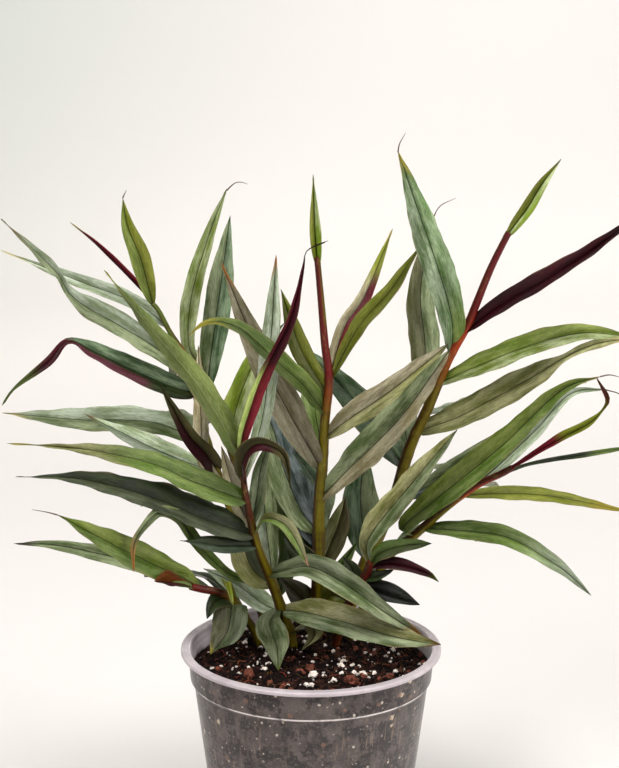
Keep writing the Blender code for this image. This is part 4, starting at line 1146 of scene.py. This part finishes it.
def build_fibres():
    """Short red-brown root and bark fibres that lie on the mix."""
    draw = random.Random(91)
    growth = Growth()
    for _ in range(FIBRES):
        x, y = random_place(draw, MIX_EDGE - 7)
        heading = draw.uniform(0, 2 * math.pi)
        reach = draw.uniform(2.0, 6.5)
        curl = draw.uniform(-1, 1)
        route = []
        for step in range(4):
            share = step / 3 - 0.5
            px = x + reach * share * math.cos(heading + curl * share)
            py = y + reach * share * math.sin(heading + curl * share)
            route.append((px, py, surface(px, py) + 0.5 + 0.7 * draw.random()))
        points, _ = smooth_route(route, 0.9)
        tone = linear((draw.uniform(70, 150), draw.uniform(34, 74), draw.uniform(22, 48)))
        radii = np.full(len(points), draw.uniform(0.09, 0.2))
        add_tube(growth, points, radii, sides=5, tones=tone)
    growth.finish("mix_fibres", (LEAF, STALK), "growing_mix")


# Stage, in metres
FLOOR_FRONT = -3.0
FLOOR_BACK = 1.6
FLOOR_SIDE = 5.0
BEND_RADIUS = 0.8
WALL_HEIGHT = 4.0
SHADE_MIDDLE = 0.12


def floor_paint():
    g = Graph("floor_paint")
    where, across, deep, height = g.place()
    warm = g.mix(g.noise(where, 1.2, 2.0), (0.720, 0.690, 0.675), (0.730, 0.700, 0.685))
    backdrop = g.times(g.ramp(deep, 0.6, 1.3), g.ramp(deep, 1.75, 2.2, 1.0, 0.4))
    warm = g.mix(backdrop, warm, (0.86, 0.82, 0.795))
    # Painted shade: the backdrop is painted darker and cooler towards its upper left, and the floor a little
    # darker in front at the left, under the pot's soft shadow.
    cool_shade = g.math("MULTIPLY_ADD", across, -1.15, -0.43)
    cool_shade = g.math("MULTIPLY_ADD", deep, 0.2, cool_shade)
    cool_shade = g.math("MULTIPLY_ADD", height, 0.77, cool_shade)
    paint = g.mix(g.ramp(cool_shade, -0.1, 1.15), warm, (0.585, 0.61, 0.575))
    near_shadow = g.times(g.ramp(across, -0.22, -0.02, 1.0, 0.0), g.ramp(deep, 0.0, 0.07, 1.0, 0.0))
    paint = g.mix(near_shadow, paint, (0.60, 0.555, 0.54))
    # Painted light: the floor is painted lighter behind the pot at the right, where the plant's shadow falls,
    # to cancel it.
    off_middle = g.math("ABSOLUTE", g.math("SUBTRACT", across, SHADE_MIDDLE))
    shadow_lightened = g.times(g.ramp(off_middle, 0.02, 0.12, 1.0, 0.0), g.ramp(deep, 0.1, 0.35, 1.0, 0.0))
    paint = g.mix(shadow_lightened, paint, (0.84, 0.81, 0.79))
    return g.finish(Base_Color=paint, Specular_IOR_Level=0.0, Roughness=0.8)


def build_stage():
    mesh = bpy.data.meshes.new("floor")
    profile = [(FLOOR_FRONT, 0.0), (FLOOR_BACK, 0.0)]
    for t in np.linspace(0.1, math.pi / 2, 14):
        profile.append((FLOOR_BACK + BEND_RADIUS * math.sin(t), BEND_RADIUS * (1 - math.cos(t))))
    profile.append((FLOOR_BACK + BEND_RADIUS, WALL_HEIGHT))
    vertices = [(x, y, z) for y, z in profile for x in (-FLOOR_SIDE, FLOOR_SIDE)]
    faces = [(2 * i, 2 * i + 1, 2 * i + 3, 2 * i + 2) for i in range(len(profile) - 1)]
    mesh.from_pydata(vertices, [], faces)
    mesh.shade_smooth()
    floor = in_scene("floor", mesh)
    mesh.materials.append(floor_paint())


# Each light: its place and what it points at in metres, its two sides, its power and its colour
LIT = (0.0, 0.0, 0.2)
LIGHTS = {
    "key_left": ((-1.1, -1.2, 1.5), LIT, (1.25, 1.25), 34.0, (1.0, 0.985, 0.96)),
    "overhead": ((0.1, -0.45, 2.0), LIT, (1.3, 0.9), 28.0, (1.0, 0.99, 0.975)),
    "fill_right": ((1.6, -0.8, 0.9), LIT, (1.2, 1.2), 33.0, (1.0, 0.985, 0.965)),
    "backdrop_wash": ((0.15, 1.5, 1.7), (0.15, 2.2, 0.15), (3.2, 0.4), 21.0, (1.0, 0.99, 0.97)),
}
ROOM_COLOUR = (1.0, 0.99, 0.97, 1)
ROOM_STRENGTH = 0.06
CAMERA_PLACE = (-0.00075, -0.93849, 0.46030)
CAMERA_TILT = math.radians(77.30)
LENS = 92.95
SENSOR = 36.0


def build_light_and_camera():
    for name, (place, target, size, power, colour) in LIGHTS.items():
        light = bpy.data.lights.new(name, "AREA")
        light.shape = "RECTANGLE"
        light.size, light.size_y = size
        light.energy = power
        light.color = colour
        made = in_scene(name, light)
        made.location = place
        made.rotation_euler = (Vector(target) - Vector(place)).to_track_quat("-Z", "Y").to_euler()
    world = bpy.data.worlds.new("studio")
    world.use_nodes = True
    background = world.node_tree.nodes["Background"]
    background.inputs["Color"].default_value = ROOM_COLOUR
    background.inputs["Strength"].default_value = ROOM_STRENGTH
    bpy.context.scene.world = world
    camera = bpy.data.cameras.new("camera")
    camera.lens = LENS
    camera.sensor_width = SENSOR
    camera.clip_end = 50.0
    made = in_scene("camera", camera)
    made.location = CAMERA_PLACE
    made.rotation_euler = (CAMERA_TILT, 0.0, 0.0)
    bpy.context.scene.camera = made
    bpy.context.scene.view_settings.view_transform = "Standard"


build_plant()
build_pot()
build_mix()
build_topping()
build_fibres()
build_stage()
build_light_and_camera()
